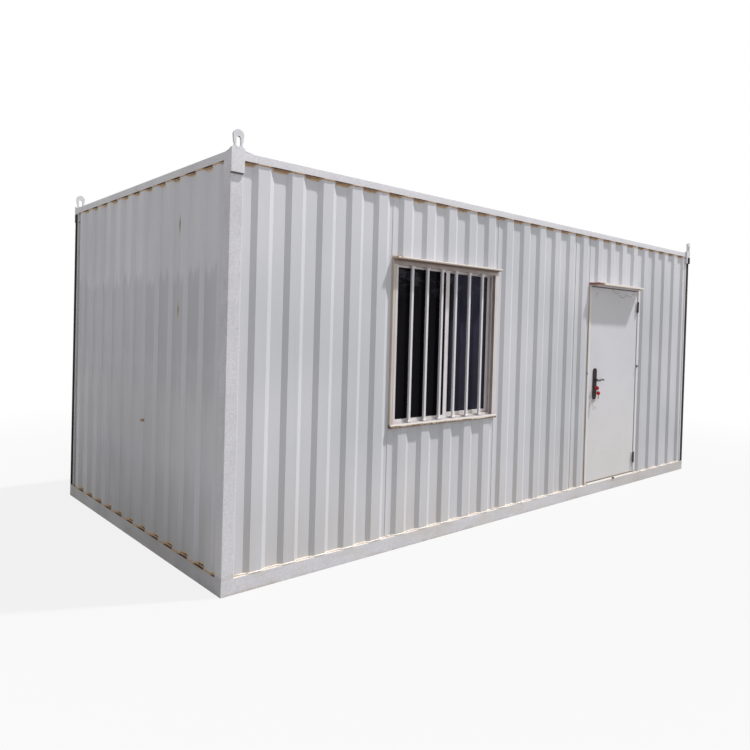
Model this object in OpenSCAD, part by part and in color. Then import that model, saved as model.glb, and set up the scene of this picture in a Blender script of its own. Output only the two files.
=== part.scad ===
// Flat pack container house: welded steel frame, ribbed sheet walls over insulated panels,
// a barred sliding window and an outward-opening steel door on the front.
// Lengths in millimetres. Front wall faces -Y, +X runs right along it, +Z is up.

/* [Frame] */
// Length over the corner posts
house_l = 6000; // [5600:10:7000]
// Width over the corner posts
house_w = 2950; // [2400:10:3300]
// Height to the top of the roof frame
house_h = 2610; // [2500:10:2900]
// Side of each square corner post
post_w = 85; // [80:1:110]
// Wall of each corner post
post_wall = 4; // [3:0.5:6]
// Outside corner radius of each post
post_r = 6; // [3:1:9]
// Height of the floor frame rails
floor_rail_h = 100; // [90:1:140]
// Height of the roof frame rails
roof_rail_h = 50; // [46:1:70]
// Steel thickness of the rails
rail_t = 5; // [4:0.5:8]

/* [Walls] */
// Rib pitch of the wall sheet
rib_pitch = 235; // [200:1:280]
// Width of each outer rib face
rib_flat = 80; // [60:1:95]
// Width of each sloping rib side
rib_slope = 36; // [24:1:45]
// Depth of the ribs
rib_depth = 18; // [12:1:22]
// Sheet thickness
sheet_t = 2; // [1.5:0.5:3]
// Setback of the rib faces behind the frame face
sheet_setback = 5; // [3:1:10]
// First rib edge on the long walls, from the corner
rib_start = 187; // [130:1:190]
// Step of the ribs where the sheet is joined at the left side of the door
joint_step = 35; // [0:1:60]
// First rib edge on the end walls, from the corner
end_rib_start = 137; // [110:1:190]
// Thickness of the insulated wall panel behind the sheet
panel_t = 53; // [45:1:53]

/* [Floor and roof] */
// Thickness of the floor board
floor_t = 20; // [15:1:25]
// Width of each floor joist and roof bearer
joist_w = 50; // [40:1:60]
// Steel thickness of the joists and bearers
joist_t = 3; // [2:0.5:4]
// Spacing of floor joists and roof bearers
joist_gap = 580; // [500:10:700]
// Depth of each roof bearer
bearer_h = 28; // [24:1:32]
// Thickness of the ceiling panel
ceiling_t = 15; // [10:1:20]
// Depth of the roof sheet ribs
roof_rib_depth = 12; // [8:1:13]

/* [Lifting lugs] */
// Width of each lug at its waist
lug_w = 50; // [46:1:60]
// Thickness of each lug plate
lug_t = 14; // [10:1:18]
// Reach of each lug below the frame top
lug_down = 127; // [110:1:150]
// Rise of each lug above the frame top
lug_up = 122; // [110:1:140]
// Radius of each rounded lug head
lug_r = 34; // [32:1:38]
// Width of the slot in each lug
lug_slot_w = 30; // [24:1:34]
// Length of the slot in each lug
lug_slot_l = 62; // [50:1:66]
// Height of the slot's top above the frame top
lug_slot_top = 82; // [78:1:86]
// Length of the curved gusset on each side of a lug
gusset_l = 64; // [50:1:80]
// Height of the gussets at the corner
gusset_h = 16; // [12:1:20]
// Thickness of the gussets
gusset_t = 6; // [5:1:8]

/* [Window] */
// Left edge of the window surround, from the left corner
win_x = 1277; // [1000:1:1500]
// Width over the window surround
win_w = 1172; // [1000:1:1250]
// Underside of the window sill, from the ground
win_z = 884; // [800:1:1000]
// Drop from the frame top to the top of the window hood
win_drop = 493; // [400:1:540]
// Face width of the surround
win_face = 46; // [40:1:60]
// Steel thickness of the surround's box sections
win_tube_t = 4; // [3:0.5:5]
// Setback of the window surround behind the frame face
win_set = 5; // [3:1:8]
// How far the window hood stands out from the frame face
win_hood_reach = 50; // [40:1:70]
// Depth of the turned-down lip on the window hood
win_hood_lip = 16; // [10:1:20]
// Height of the folded window sill
sill_h = 30; // [20:1:40]
// How far the window sill stands out from the frame face
sill_reach = 8; // [4:1:16]
// Side of the square security bars
bar_w = 20; // [16:1:22]
// Corner radius of the security bars
bar_r = 2.5; // [1:0.5:4]
// Number of security bars
bar_n = 6; // [4:1:6]
// Spacing of the security bars
bar_gap = 156; // [130:1:165]
// First security bar, from the left edge of the surround
bar_first = 196; // [150:1:210]

/* [Door] */
// Left edge of the door frame, from the left corner
door_x = 3858; // [3500:1:4000]
// Width over the door frame
door_w = 1010; // [900:1:1100]
// Drop from the frame top to the top of the door hood
door_drop = 497; // [420:1:560]
// Face width of the door jambs
jamb_face = 42; // [36:1:50]
// Setback of the door frame behind the frame face
jamb_set = 14; // [8:1:16]
// Setback of the door leaf behind the frame face
leaf_set = 20; // [18:1:34]
// Thickness of the door leaf
leaf_t = 36; // [30:1:40]
// Clear gap round the door leaf
leaf_gap = 8; // [6:1:9]
// How far the door hood stands out from the frame face
door_hood_reach = 80; // [70:1:120]
// Depth of the turned-down lip on the door hood
hood_lip = 20; // [12:1:22]
// Skew of the left end of the door hood
hood_skew_l = 29; // [10:1:100]
// Skew of the right end of the door hood
hood_skew_r = 66; // [10:1:90]
// How far the door hood stops short of the right edge of the door frame
hood_short = 32; // [0:1:60]
// Thickness of the door hood plate
hood_t = 5; // [4:1:8]
// Height of each hinge
hinge_h = 115; // [90:1:140]
// Radius of the hinge barrels
hinge_r = 8; // [7:0.5:8]
// Height of the lever handle
lever_z = 1144; // [1000:1:1200]
// Length of the lever handle
lever_l = 112; // [90:1:160]

/* [Hidden] */

// Space between fitted pieces that carry one another
fit = 0.3;
// Over-run of cutting shapes
cut = 1;
wall_bottom = floor_rail_h;
wall_top = house_h - roof_rail_h;
wall_rise = wall_top - wall_bottom;
panel_y = sheet_setback + rib_depth + sheet_t;
wall_t = panel_y + panel_t;
rib_recess = rib_pitch - rib_flat - 2 * rib_slope;
win_right = win_x + win_w;
win_top = house_h - win_drop;
door_top = house_h - door_drop;
door_right = door_x + door_w;
// The nearest reach of the front shifts the plan so that the box stays centred
reach_front = max(door_hood_reach, win_hood_reach);
y_shift = (reach_front - lug_t) / 2;

steel_white = [0.80, 0.80, 0.82];
sheet_white = [0.78, 0.79, 0.81];
frame_cream = [0.78, 0.75, 0.70];
panel_white = [0.86, 0.86, 0.84];
floor_brown = [0.45, 0.38, 0.30];
steel_grey = [0.45, 0.45, 0.46];
glass_dark = [0.10, 0.10, 0.12];
lock_black = [0.10, 0.09, 0.09];
lever_grey = [0.60, 0.60, 0.60];
key_red = [0.70, 0.10, 0.10];

// Plan helpers: x along the wall seen from outside, y into the wall, z up
module at_front() {
    translate([-house_l / 2, y_shift - house_w / 2, 0]) children();
}
module at_back() {
    translate([house_l / 2, y_shift + house_w / 2, 0]) rotate([0, 0, 180]) children();
}
module at_left() {
    translate([-house_l / 2, y_shift + house_w / 2, 0]) rotate([0, 0, -90]) children();
}
module at_right() {
    translate([house_l / 2, y_shift - house_w / 2, 0]) rotate([0, 0, 90]) children();
}
module block(x0, x1, y0, y1, z0, z1) {
    translate([x0, y0, z0]) cube([x1 - x0, y1 - y0, z1 - z0]);
}

// Rails: a folded section run along x with mitred corners
module mitred(len, h) {
    intersection() {
        rotate([90, 0, 90]) linear_extrude(height = len) children();
        linear_extrude(height = h)
            polygon([[0, 0], [len, 0], [len - post_w, post_w], [post_w, post_w]]);
    }
}
module channel_section() {
    polygon([[0, 0], [post_w, 0], [post_w, rail_t], [rail_t, rail_t],
        [rail_t, floor_rail_h - rail_t], [post_w, floor_rail_h - rail_t],
        [post_w, floor_rail_h], [0, floor_rail_h]]);
}
module angle_section() {
    polygon([[0, 0], [post_w, 0], [post_w, rail_t], [rail_t, rail_t],
        [rail_t, roof_rail_h], [0, roof_rail_h]]);
}
module floor_rail(len) {
    mitred(len, floor_rail_h) channel_section();
}
module roof_rail(len) {
    translate([0, 0, wall_top]) mitred(len, roof_rail_h) angle_section();
}

// Ribbed sheet: depth of the face at x, and the folded outline between two edges
function rib_u(x, start) = (x - start) - rib_pitch * floor((x - start) / rib_pitch);
function rib_face(u) = u < rib_flat ? 0
    : u < rib_flat + rib_slope ? rib_depth * (u - rib_flat) / rib_slope
    : u < rib_flat + rib_slope + rib_recess ? rib_depth
    : rib_depth * (rib_pitch - u) / rib_slope;
function folds(x0, x1, start) = [for (k = [-2 : ceil(x1 / rib_pitch)])
    for (b = [0, rib_flat, rib_flat + rib_slope, rib_flat + rib_slope + rib_recess])
        let (x = start + k * rib_pitch + b) if (x > x0 + 4 && x < x1 - 4) x];
function edge_line(x0, x1, start) = concat([x0], folds(x0, x1, start), [x1]);
module ribbed(x0, x1, z0, z1, start) {
    line = edge_line(x0, x1, start);
    n = len(line);
    face = [for (x = line) [x, sheet_setback + rib_face(rib_u(x, start))]];
    back = [for (i = [1 : n]) [face[n - i][0], face[n - i][1] + sheet_t]];
    translate([0, 0, z0]) linear_extrude(height = z1 - z0) polygon(concat(face, back));
}

// Floor frame
module front_bottom_rail() {
    color(steel_white) at_front() floor_rail(house_l);
}
module back_bottom_rail() {
    color(steel_white) at_back() floor_rail(house_l);
}
module end_bottom_rails() {
    color(steel_white) {
        at_left() floor_rail(house_w);
        at_right() floor_rail(house_w);
    }
}
joist_n = floor((house_l - 2 * post_w - joist_w) / joist_gap);
joist_x0 = (house_l - (joist_n - 1) * joist_gap) / 2;
module c_section(w, h, t) {
    difference() {
        square([w, h]);
        translate([t, t]) square([w, h - 2 * t]);
    }
}
module across(z0, h) {
    for (i = [0 : joist_n - 1])
        translate([joist_x0 + i * joist_gap - joist_w / 2, house_w - rail_t, z0]) rotate([90, 0, 0])
            linear_extrude(height = house_w - 2 * rail_t) c_section(joist_w, h, joist_t);
}
module floor_joists() {
    color(steel_grey) at_front() across(rail_t, floor_rail_h - floor_t - rail_t);
}
module floor_board() {
    color(floor_brown) at_front() block(post_w, house_l - post_w, post_w, house_w - post_w,
        floor_rail_h - floor_t, floor_rail_h);
}

// Posts and roof frame
module rounded_square(w, r) {
    translate([r, 0]) square([w - 2 * r, w]);
    translate([0, r]) square([w, w - 2 * r]);
    for (x = [r, w - r], y = [r, w - r]) translate([x, y]) circle(r = r, $fn = 32);
}
module post() {
    translate([0, 0, wall_bottom]) linear_extrude(height = wall_rise) difference() {
        rounded_square(post_w, post_r);
        translate([post_wall, post_wall]) square(post_w - 2 * post_wall);
    }
}
module corner_posts() {
    color(steel_white) {
        at_front() {
            post();
            translate([house_l - post_w, 0, 0]) post();
        }
        at_back() {
            post();
            translate([house_l - post_w, 0, 0]) post();
        }
    }
}
module front_top_rail() {
    color(steel_white) at_front() roof_rail(house_l);
}
module back_top_rail() {
    color(steel_white) at_back() roof_rail(house_l);
}
module end_top_rails() {
    color(steel_white) {
        at_left() roof_rail(house_w);
        at_right() roof_rail(house_w);
    }
}
bearer_z = wall_top + rail_t;
module roof_bearers() {
    color(steel_grey) at_front() across(bearer_z, bearer_h);
}
module ceiling_panel() {
    color(panel_white) at_front() block(post_w, house_l - post_w, post_w, house_w - post_w,
        bearer_z - ceiling_t, bearer_z);
}
// Roof sheet lies in the upstand of the roof frame, ribs along the house
roof_scale = roof_rib_depth / rib_depth;
function roof_line() = edge_line(rail_t, house_w - rail_t, end_rib_start);
module roof_sheet() {
    line = roof_line();
    n = len(line);
    top = [for (y = line) [y, sheet_t + roof_scale * (rib_depth - rib_face(rib_u(y, end_rib_start)))]];
    under = [for (i = [1 : n]) [top[n - i][0], top[n - i][1] - sheet_t]];
    color(sheet_white) at_front() translate([rail_t, 0, bearer_z + bearer_h])
        rotate([90, 0, 90]) linear_extrude(height = house_l - 2 * rail_t) polygon(concat(top, under));
}

// Lifting lugs: a waisted plate on the outer face of each post, with a curved gusset
// along each rail that meets there
module slot(w, l) {
    translate([-w / 2, w / 2]) square([w, l - w]);
    for (z = [w / 2, l - w / 2]) translate([0, z]) circle(d = w, $fn = 32);
}
module lug_outline() {
    flare = (post_w - lug_w) / 2;
    head_z = lug_up - lug_r;
    difference() {
        union() {
            translate([-post_w / 2, -lug_down]) square([post_w, lug_down + gusset_h + flare]);
            polygon([[-lug_w / 2, 0], [lug_w / 2, 0], [lug_r, head_z], [-lug_r, head_z]]);
            translate([0, head_z]) circle(r = lug_r, $fn = 48);
        }
        for (x = [-post_w / 2, post_w / 2])
            translate([x, gusset_h + flare]) circle(r = flare, $fn = 32);
        translate([0, lug_slot_top - lug_slot_l]) slot(lug_slot_w, lug_slot_l);
    }
}
module gusset_outline(foot) {
    r = (gusset_l * gusset_l + gusset_h * gusset_h) / (2 * gusset_h);
    difference() {
        translate([-foot, 0]) square([foot + gusset_l, gusset_h]);
        translate([gusset_l, r]) circle(r = r, $fn = 96);
    }
}
// side = 1 for a post at the left of its wall, -1 at the right
module lug(side) {
    translate([side > 0 ? 0 : house_l, 0, house_h]) mirror([side > 0 ? 0 : 1, 0, 0]) {
        translate([post_w / 2, 0, 0]) rotate([90, 0, 0]) linear_extrude(height = lug_t) lug_outline();
        translate([post_w, gusset_t, 0]) rotate([90, 0, 0])
            linear_extrude(height = gusset_t) gusset_outline(10);
        rotate([90, 0, 90]) linear_extrude(height = gusset_t) gusset_outline(0);
    }
}
module lifting_lugs() {
    color(steel_white) {
        at_front() {
            lug(1);
            lug(-1);
        }
        at_back() {
            lug(1);
            lug(-1);
        }
    }
}

// Wall sheets
module front_sheet_left() {
    color(sheet_white) at_front() ribbed(post_w, win_x, wall_bottom, wall_top, rib_start);
}
module front_sheet_over_window() {
    color(sheet_white) at_front() ribbed(win_x, win_right, win_top, wall_top, rib_start);
}
module front_sheet_under_window() {
    color(sheet_white) at_front() ribbed(win_x, win_right, wall_bottom, win_z, rib_start);
}
module front_sheet_middle() {
    color(sheet_white) at_front() ribbed(win_right, door_x, wall_bottom, wall_top, rib_start);
}
module front_sheet_over_door() {
    color(sheet_white) at_front() ribbed(door_x, door_right, door_top, wall_top, rib_start + joint_step);
}
module front_sheet_right() {
    color(sheet_white) at_front()
        ribbed(door_right, house_l - post_w, wall_bottom, wall_top, rib_start + joint_step);
}
module back_sheet() {
    color(sheet_white) at_back() ribbed(post_w, house_l - post_w, wall_bottom, wall_top, rib_start);
}
module left_end_sheet() {
    color(sheet_white) at_left()
        ribbed(post_w, house_w - post_w, wall_bottom, wall_top, end_rib_start);
}
module right_end_sheet() {
    color(sheet_white) at_right()
        ribbed(post_w, house_w - post_w, wall_bottom, wall_top, end_rib_start);
}

// Insulated panels behind the sheet
module front_wall_panels() {
    color(panel_white) at_front() {
        block(post_w, win_x, panel_y, wall_t, wall_bottom, wall_top);
        block(win_right, door_x, panel_y, wall_t, wall_bottom, wall_top);
        block(door_right, house_l - post_w, panel_y, wall_t, wall_bottom, wall_top);
    }
}
module front_wall_infills() {
    color(panel_white) at_front() {
        block(win_x, win_right, panel_y, wall_t, wall_bottom, win_z);
        block(win_x, win_right, panel_y, wall_t, win_top, wall_top);
        block(door_x, door_right, panel_y, wall_t, door_top, wall_top);
    }
}
module back_wall_panel() {
    color(panel_white) at_back()
        block(post_w, house_l - post_w, panel_y, wall_t, wall_bottom, wall_top);
}
module left_wall_panel() {
    color(panel_white) at_left()
        block(post_w, house_w - post_w, panel_y, wall_t, wall_bottom, wall_top);
}
module right_wall_panel() {
    color(panel_white) at_right()
        block(post_w, house_w - post_w, panel_y, wall_t, wall_bottom, wall_top);
}

// Tray hood: a plate with its edges turned down along the front and both ends
module hood_plan(x0, x1, skew_l, skew_r, reach, back) {
    polygon([[x0, back], [x0 + skew_l, -reach], [x1 - skew_r, -reach], [x1, back]]);
}
module tray_hood(x0, x1, skew_l, skew_r, reach, back, lip) {
    difference() {
        linear_extrude(height = lip) hood_plan(x0, x1, skew_l, skew_r, reach, back);
        translate([0, 0, -cut]) linear_extrude(height = lip - hood_t + cut)
            hood_plan(x0 + hood_t, x1 - hood_t, skew_l, skew_r, reach - hood_t, back + cut);
    }
}

// Window surround: a boxed steel frame with a tray hood above and a folded sill below
win_head_z = win_top - hood_t - win_face;
win_sill_z = win_z + sill_h;
win_hood_left = 10;
win_hood_short = 14;
win_hood_skew = 4;
surround_d = wall_t - win_set;
module box_section(w, d) {
    difference() {
        square([w, d]);
        translate([win_tube_t, win_tube_t]) square([w - 2 * win_tube_t, d - 2 * win_tube_t]);
    }
}
module window_head() {
    color(frame_cream) at_front() {
        translate([win_x, win_set, win_head_z]) rotate([90, 0, 90])
            linear_extrude(height = win_w) box_section(surround_d, win_face);
        translate([win_x, win_set, win_head_z + win_face])
            cube([win_w, surround_d, hood_t]);
        translate([0, 0, win_top - win_hood_lip])
            tray_hood(win_x - win_hood_left, win_right - win_hood_short, win_hood_skew, win_hood_skew,
                win_hood_reach, win_set, win_hood_lip);
    }
}
// The sill is a folded box with a sloping front edge
sill_fall = 5;
module window_sill() {
    color(frame_cream) at_front() translate([win_x, 0, win_z]) rotate([90, 0, 90])
        linear_extrude(height = win_w) difference() {
            polygon([[wall_t, 0], [wall_t, sill_h], [win_set, sill_h],
                [-sill_reach, sill_h - sill_fall], [-sill_reach, 0]]);
            polygon([[wall_t - win_tube_t, win_tube_t], [wall_t - win_tube_t, sill_h - win_tube_t],
                [win_set, sill_h - win_tube_t], [win_tube_t - sill_reach, sill_h - sill_fall - win_tube_t],
                [win_tube_t - sill_reach, win_tube_t]]);
        }
}
module window_jambs() {
    color(frame_cream) at_front() for (x = [win_x, win_right - win_face])
        translate([x, win_set, win_sill_z]) linear_extrude(height = win_head_z - win_sill_z)
            box_section(win_face, surround_d);
}
bar_y = win_set + 3;
module security_bars() {
    color(frame_cream) at_front() for (i = [0 : bar_n - 1])
        translate([win_x + bar_first + i * bar_gap - bar_w / 2, bar_y, win_sill_z])
            linear_extrude(height = win_head_z - win_sill_z) rounded_square(bar_w, bar_r);
}

// Two-pane sliding window unit set back in the surround
unit_x0 = win_x + win_face;
unit_x1 = win_right - win_face;
unit_y0 = 32;
unit_y1 = 74;
unit_bar = 14;
unit_top = 8;
sash_t = 17;
sash_back = unit_y1 - 3;
left_sash_w = 14;
right_sash_w = 30;
meeting_w = 40;
sash_top = 8;
meeting_step = 6;
unit_mid = (unit_x0 + unit_x1) / 2 + meeting_step;
glass_t = 5;
glass_in = 6;
// Four-sided frame: widths of its left, right, bottom and top members
module ring(x0, x1, z0, z1, y0, y1, left, right, bottom, top) {
    difference() {
        block(x0, x1, y0, y1, z0, z1);
        block(x0 + left, x1 - right, y0 - cut, y1 + cut, z0 + bottom, z1 - top);
    }
}
module window_frame() {
    color(steel_white) at_front()
        ring(unit_x0, unit_x1, win_sill_z, win_head_z, unit_y0, unit_y1,
            unit_bar, unit_bar, unit_bar, unit_top);
}
sash_z0 = win_sill_z + unit_bar;
sash_z1 = win_head_z - unit_top;
left_x0 = unit_x0 + unit_bar;
left_x1 = unit_mid + meeting_w / 2;
right_x0 = unit_mid - right_sash_w / 2;
right_x1 = unit_x1 - unit_bar;
left_y0 = unit_y0 + 3;
right_y0 = sash_back - sash_t;
module window_sashes() {
    color(steel_white) at_front() {
        ring(left_x0, left_x1, sash_z0, sash_z1, left_y0, left_y0 + sash_t,
            left_sash_w, meeting_w, left_sash_w, sash_top);
        ring(right_x0, right_x1, sash_z0, sash_z1, right_y0, right_y0 + sash_t,
            right_sash_w, right_sash_w, right_sash_w, sash_top);
    }
}
module window_glass() {
    color(glass_dark) at_front() {
        block(left_x0 + left_sash_w, left_x1 - meeting_w, left_y0 + glass_in, left_y0 + glass_in + glass_t,
            sash_z0 + left_sash_w, sash_z1 - sash_top);
        block(right_x0 + right_sash_w, right_x1 - right_sash_w, right_y0 + glass_in,
            right_y0 + glass_in + glass_t, sash_z0 + right_sash_w, sash_z1 - sash_top);
    }
}

// Door frame with a lipped hood plate
door_hood_z = door_top - hood_t;
stop_y = leaf_set + leaf_t + leaf_gap;
stop_w = 14;
frame_y1 = stop_y + 18;
opening_x0 = door_x + jamb_face;
opening_x1 = door_right - jamb_face;
head_h = 26;
head_z = door_hood_z - head_h;
sill_t = 14;
sill_slope = 8;
hood_right = door_right - hood_short;
module door_hood() {
    color(frame_cream) at_front() {
        translate([0, 0, door_top - hood_lip])
            tray_hood(door_x, hood_right, hood_skew_l, hood_skew_r, door_hood_reach, jamb_set, hood_lip);
        block(door_x, door_right, jamb_set, frame_y1, door_hood_z, door_top);
    }
}
module door_head() {
    color(frame_cream) at_front() {
        block(opening_x0, opening_x1, jamb_set, stop_y, head_z, door_hood_z);
        block(opening_x0 + stop_w, opening_x1 - stop_w, stop_y, frame_y1, head_z - stop_w, door_hood_z);
    }
}
module jamb_section() {
    polygon([[0, jamb_set], [jamb_face, jamb_set], [jamb_face, stop_y],
        [jamb_face + stop_w, stop_y], [jamb_face + stop_w, frame_y1], [0, frame_y1]]);
}
module door_jambs() {
    jamb_rise = door_hood_z - wall_bottom;
    color(frame_cream) at_front() translate([0, 0, wall_bottom]) {
        translate([door_x, 0, 0]) linear_extrude(height = jamb_rise) jamb_section();
        translate([door_right, 0, 0]) mirror([1, 0, 0]) linear_extrude(height = jamb_rise)
            jamb_section();
    }
}
module door_threshold() {
    color(frame_cream) at_front() {
        translate([opening_x0, 0, wall_bottom]) rotate([90, 0, 90])
            linear_extrude(height = opening_x1 - opening_x0)
                polygon([[0, 0], [stop_y, 0], [stop_y, sill_t], [leaf_set, sill_t], [0, sill_t - sill_slope]]);
        block(opening_x0 + stop_w, opening_x1 - stop_w, stop_y, frame_y1,
            wall_bottom, wall_bottom + sill_t + leaf_gap + stop_w);
    }
}

// Door leaf, hung on the right on two barrel hinges
leaf_x0 = opening_x0 + leaf_gap;
leaf_x1 = opening_x1 - leaf_gap;
leaf_z0 = wall_bottom + sill_t + leaf_gap;
leaf_z1 = head_z - leaf_gap;
pin_in = 14;
pin_x = opening_x1 - pin_in;
pin_y = jamb_set - hinge_r - 2;
flap_t = 4;
flap_w = 28;
pin_r = 4;
pin_gap = 0.3;
hinge_low = 100;
hinge_high = 224;
knuckle_gap = 2;
knuckle_h = (hinge_h - knuckle_gap) / 2;
hinge_z = [leaf_z0 + hinge_low, leaf_z1 - hinge_high];
lever_in = 93;
lever_x = leaf_x0 + lever_in;
plate_w = 62;
plate_up = 119;
plate_down = 194;
plate_t = 9;
neck_r = 9;
bore_r = 12;
cyl_drop = 78;
cyl_r = 11;
// Fixed half: lower knuckle and pin on a flap over the jamb face
module hinge_posts() {
    flap_y = jamb_set - pin_y;
    color(steel_grey) at_front() for (z = hinge_z) translate([pin_x, pin_y, z]) {
        cylinder(r = hinge_r, h = knuckle_h, $fn = 32);
        cylinder(r = pin_r, h = hinge_h - 8, $fn = 32);
        block(0, flap_w, flap_y - flap_t, flap_y, 0, knuckle_h);
    }
}
// Moving half: upper knuckle on a cranked flap over the leaf face
module hinge_barrels() {
    reach = leaf_set - pin_y;
    crank = pin_x - leaf_x1 + 1;
    color(steel_grey) at_front() for (z = hinge_z)
        translate([pin_x, pin_y, z + knuckle_h + knuckle_gap]) difference() {
            union() {
                cylinder(r = hinge_r, h = knuckle_h, $fn = 32);
                block(-crank - flap_t, -crank, 0, reach, 0, knuckle_h);
                block(-crank - flap_w, -crank, reach - flap_t, reach, 0, knuckle_h);
            }
            translate([0, 0, -cut]) cylinder(r = pin_r + pin_gap, h = knuckle_h - 5 + cut, $fn = 32);
        }
}
module door_leaf() {
    color(steel_white) at_front() difference() {
        block(leaf_x0, leaf_x1, leaf_set, leaf_set + leaf_t, leaf_z0, leaf_z1);
        translate([lever_x, leaf_set - cut, lever_z]) rotate([-90, 0, 0])
            cylinder(r = bore_r, h = leaf_t + 2 * cut, $fn = 32);
        translate([lever_x, leaf_set - cut, lever_z - cyl_drop]) rotate([-90, 0, 0])
            cylinder(r = cyl_r, h = leaf_t + 2 * cut, $fn = 32);
    }
}
// Rounded plate on each face of the leaf, drilled for the lever neck and the lock
module lock_plate(y) {
    translate([lever_x, y + plate_t, lever_z]) rotate([90, 0, 0]) linear_extrude(height = plate_t)
        difference() {
            union() {
                translate([-plate_w / 2, plate_w / 2 - plate_down])
                    square([plate_w, plate_down + plate_up - plate_w]);
                translate([0, plate_up - plate_w / 2]) circle(d = plate_w, $fn = 48);
                translate([0, plate_w / 2 - plate_down]) circle(d = plate_w, $fn = 48);
            }
            circle(r = neck_r + 0.5, $fn = 32);
            translate([0, -cyl_drop]) circle(r = cyl_r, $fn = 32);
        }
}
module lock_plates() {
    color(lock_black) at_front() {
        lock_plate(leaf_set - plate_t);
        lock_plate(leaf_set + leaf_t);
    }
}
module lock_cylinder() {
    color(lever_grey) at_front() translate([lever_x, leaf_set - plate_t - 3, lever_z - cyl_drop])
        rotate([-90, 0, 0]) cylinder(r = cyl_r - fit, h = leaf_t + 2 * plate_t + 6, $fn = 32);
}
// Two keys on a ring: one stands in the lock, the other hangs from the ring
key_y = leaf_set - plate_t - 3;
key_r = 20;
key_t = 4;
key_ring_r = 11;
key_wire = 1.2;
key_out = 24;
key_turn = 12;
ring_bite = 4;
blade_t = 2.4;
blade_h = 8;
blade_l = 34;
module key_head() {
    rotate([0, 90, 0]) translate([0, 0, -key_t / 2]) cylinder(r = key_r, h = key_t, $fn = 40);
}
module door_keys() {
    ring_z = ring_bite - key_r;
    second_z = ring_z - 2 * key_ring_r - key_r + 2 * ring_bite;
    color(key_red) at_front() translate([lever_x, key_y, lever_z - cyl_drop]) {
        block(-blade_t / 2, blade_t / 2, -key_out, 0, -blade_h / 2, blade_h / 2);
        translate([0, -key_out, 0]) key_head();
        translate([0, -key_out, ring_z - key_ring_r]) rotate([90, 0, 0]) rotate_extrude($fn = 40)
            translate([key_ring_r, 0]) circle(r = key_wire, $fn = 16);
        translate([key_t, -key_out - key_turn, second_z]) {
            key_head();
            block(-blade_t / 2, blade_t / 2, -blade_h / 2, blade_h / 2, -key_r - blade_l, 0);
        }
    }
}
// Lever: a neck on each face joined by one spindle, and a waved arm to the right
bar_h = 17;
bar_t = 12;
neck_l = 44;
wave = lever_l / 4;
wave_sag = lever_l * 0.04;
wave_r = (wave * wave + wave_sag * wave_sag) / (2 * wave_sag);
module wave_band(x, up) {
    intersection() {
        translate([x, up * (wave_r - wave_sag)]) difference() {
            circle(r = wave_r + bar_h / 2, $fn = 96);
            circle(r = wave_r - bar_h / 2, $fn = 96);
        }
        translate([x - wave, -2 * bar_h]) square([2 * wave, 4 * bar_h]);
    }
}
module lever_outline() {
    circle(r = neck_r + 3, $fn = 40);
    wave_band(wave, 1);
    wave_band(3 * wave, -1);
    translate([lever_l, 0]) circle(d = bar_h, $fn = 32);
}
module lever_arm() {
    rotate([90, 0, 0]) cylinder(r = neck_r, h = neck_l - 1, $fn = 32);
    translate([0, bar_t - neck_l, 0]) rotate([90, 0, 0]) linear_extrude(height = bar_t) lever_outline();
}
module door_lever() {
    color(lever_grey) at_front() translate([lever_x, 0, lever_z]) {
        translate([0, leaf_set, 0]) lever_arm();
        translate([0, leaf_set + leaf_t, 0]) mirror([0, 1, 0]) lever_arm();
        translate([0, leaf_set - cut, 0]) rotate([-90, 0, 0])
            cylinder(r = neck_r - 2, h = leaf_t + 2 * cut, $fn = 32);
    }
}

front_bottom_rail();
back_bottom_rail();
end_bottom_rails();
floor_joists();
floor_board();
corner_posts();
front_top_rail();
back_top_rail();
end_top_rails();
roof_bearers();
roof_sheet();
ceiling_panel();
lifting_lugs();
front_sheet_left();
front_sheet_over_window();
front_sheet_under_window();
front_sheet_middle();
front_sheet_over_door();
front_sheet_right();
back_sheet();
left_end_sheet();
right_end_sheet();
front_wall_panels();
front_wall_infills();
back_wall_panel();
left_wall_panel();
right_wall_panel();
window_head();
window_sill();
window_jambs();
security_bars();
window_frame();
window_sashes();
window_glass();
door_hood();
door_head();
door_jambs();
door_threshold();
hinge_posts();
door_leaf();
hinge_barrels();
lock_plates();
lock_cylinder();
door_keys();
door_lever();
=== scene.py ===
"""Flat pack container house: paint, rust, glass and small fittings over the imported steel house.

Metres, front wall towards -Y, +X to the right along it, +Z up.
"""
import math

import bpy
from mathutils import Matrix, Vector


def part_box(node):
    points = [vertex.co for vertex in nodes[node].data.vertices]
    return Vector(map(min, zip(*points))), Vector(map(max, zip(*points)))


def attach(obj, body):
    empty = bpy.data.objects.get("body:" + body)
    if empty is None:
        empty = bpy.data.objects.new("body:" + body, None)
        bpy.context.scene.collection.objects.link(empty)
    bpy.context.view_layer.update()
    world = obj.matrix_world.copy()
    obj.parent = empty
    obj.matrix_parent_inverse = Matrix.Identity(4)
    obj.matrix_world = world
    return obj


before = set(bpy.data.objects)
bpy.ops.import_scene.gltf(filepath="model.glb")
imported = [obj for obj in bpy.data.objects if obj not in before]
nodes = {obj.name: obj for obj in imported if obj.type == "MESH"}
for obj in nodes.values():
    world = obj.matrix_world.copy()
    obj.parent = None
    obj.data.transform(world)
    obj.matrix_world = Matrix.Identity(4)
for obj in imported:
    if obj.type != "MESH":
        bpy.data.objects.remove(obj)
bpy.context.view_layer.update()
scene = bpy.context.scene

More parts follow.
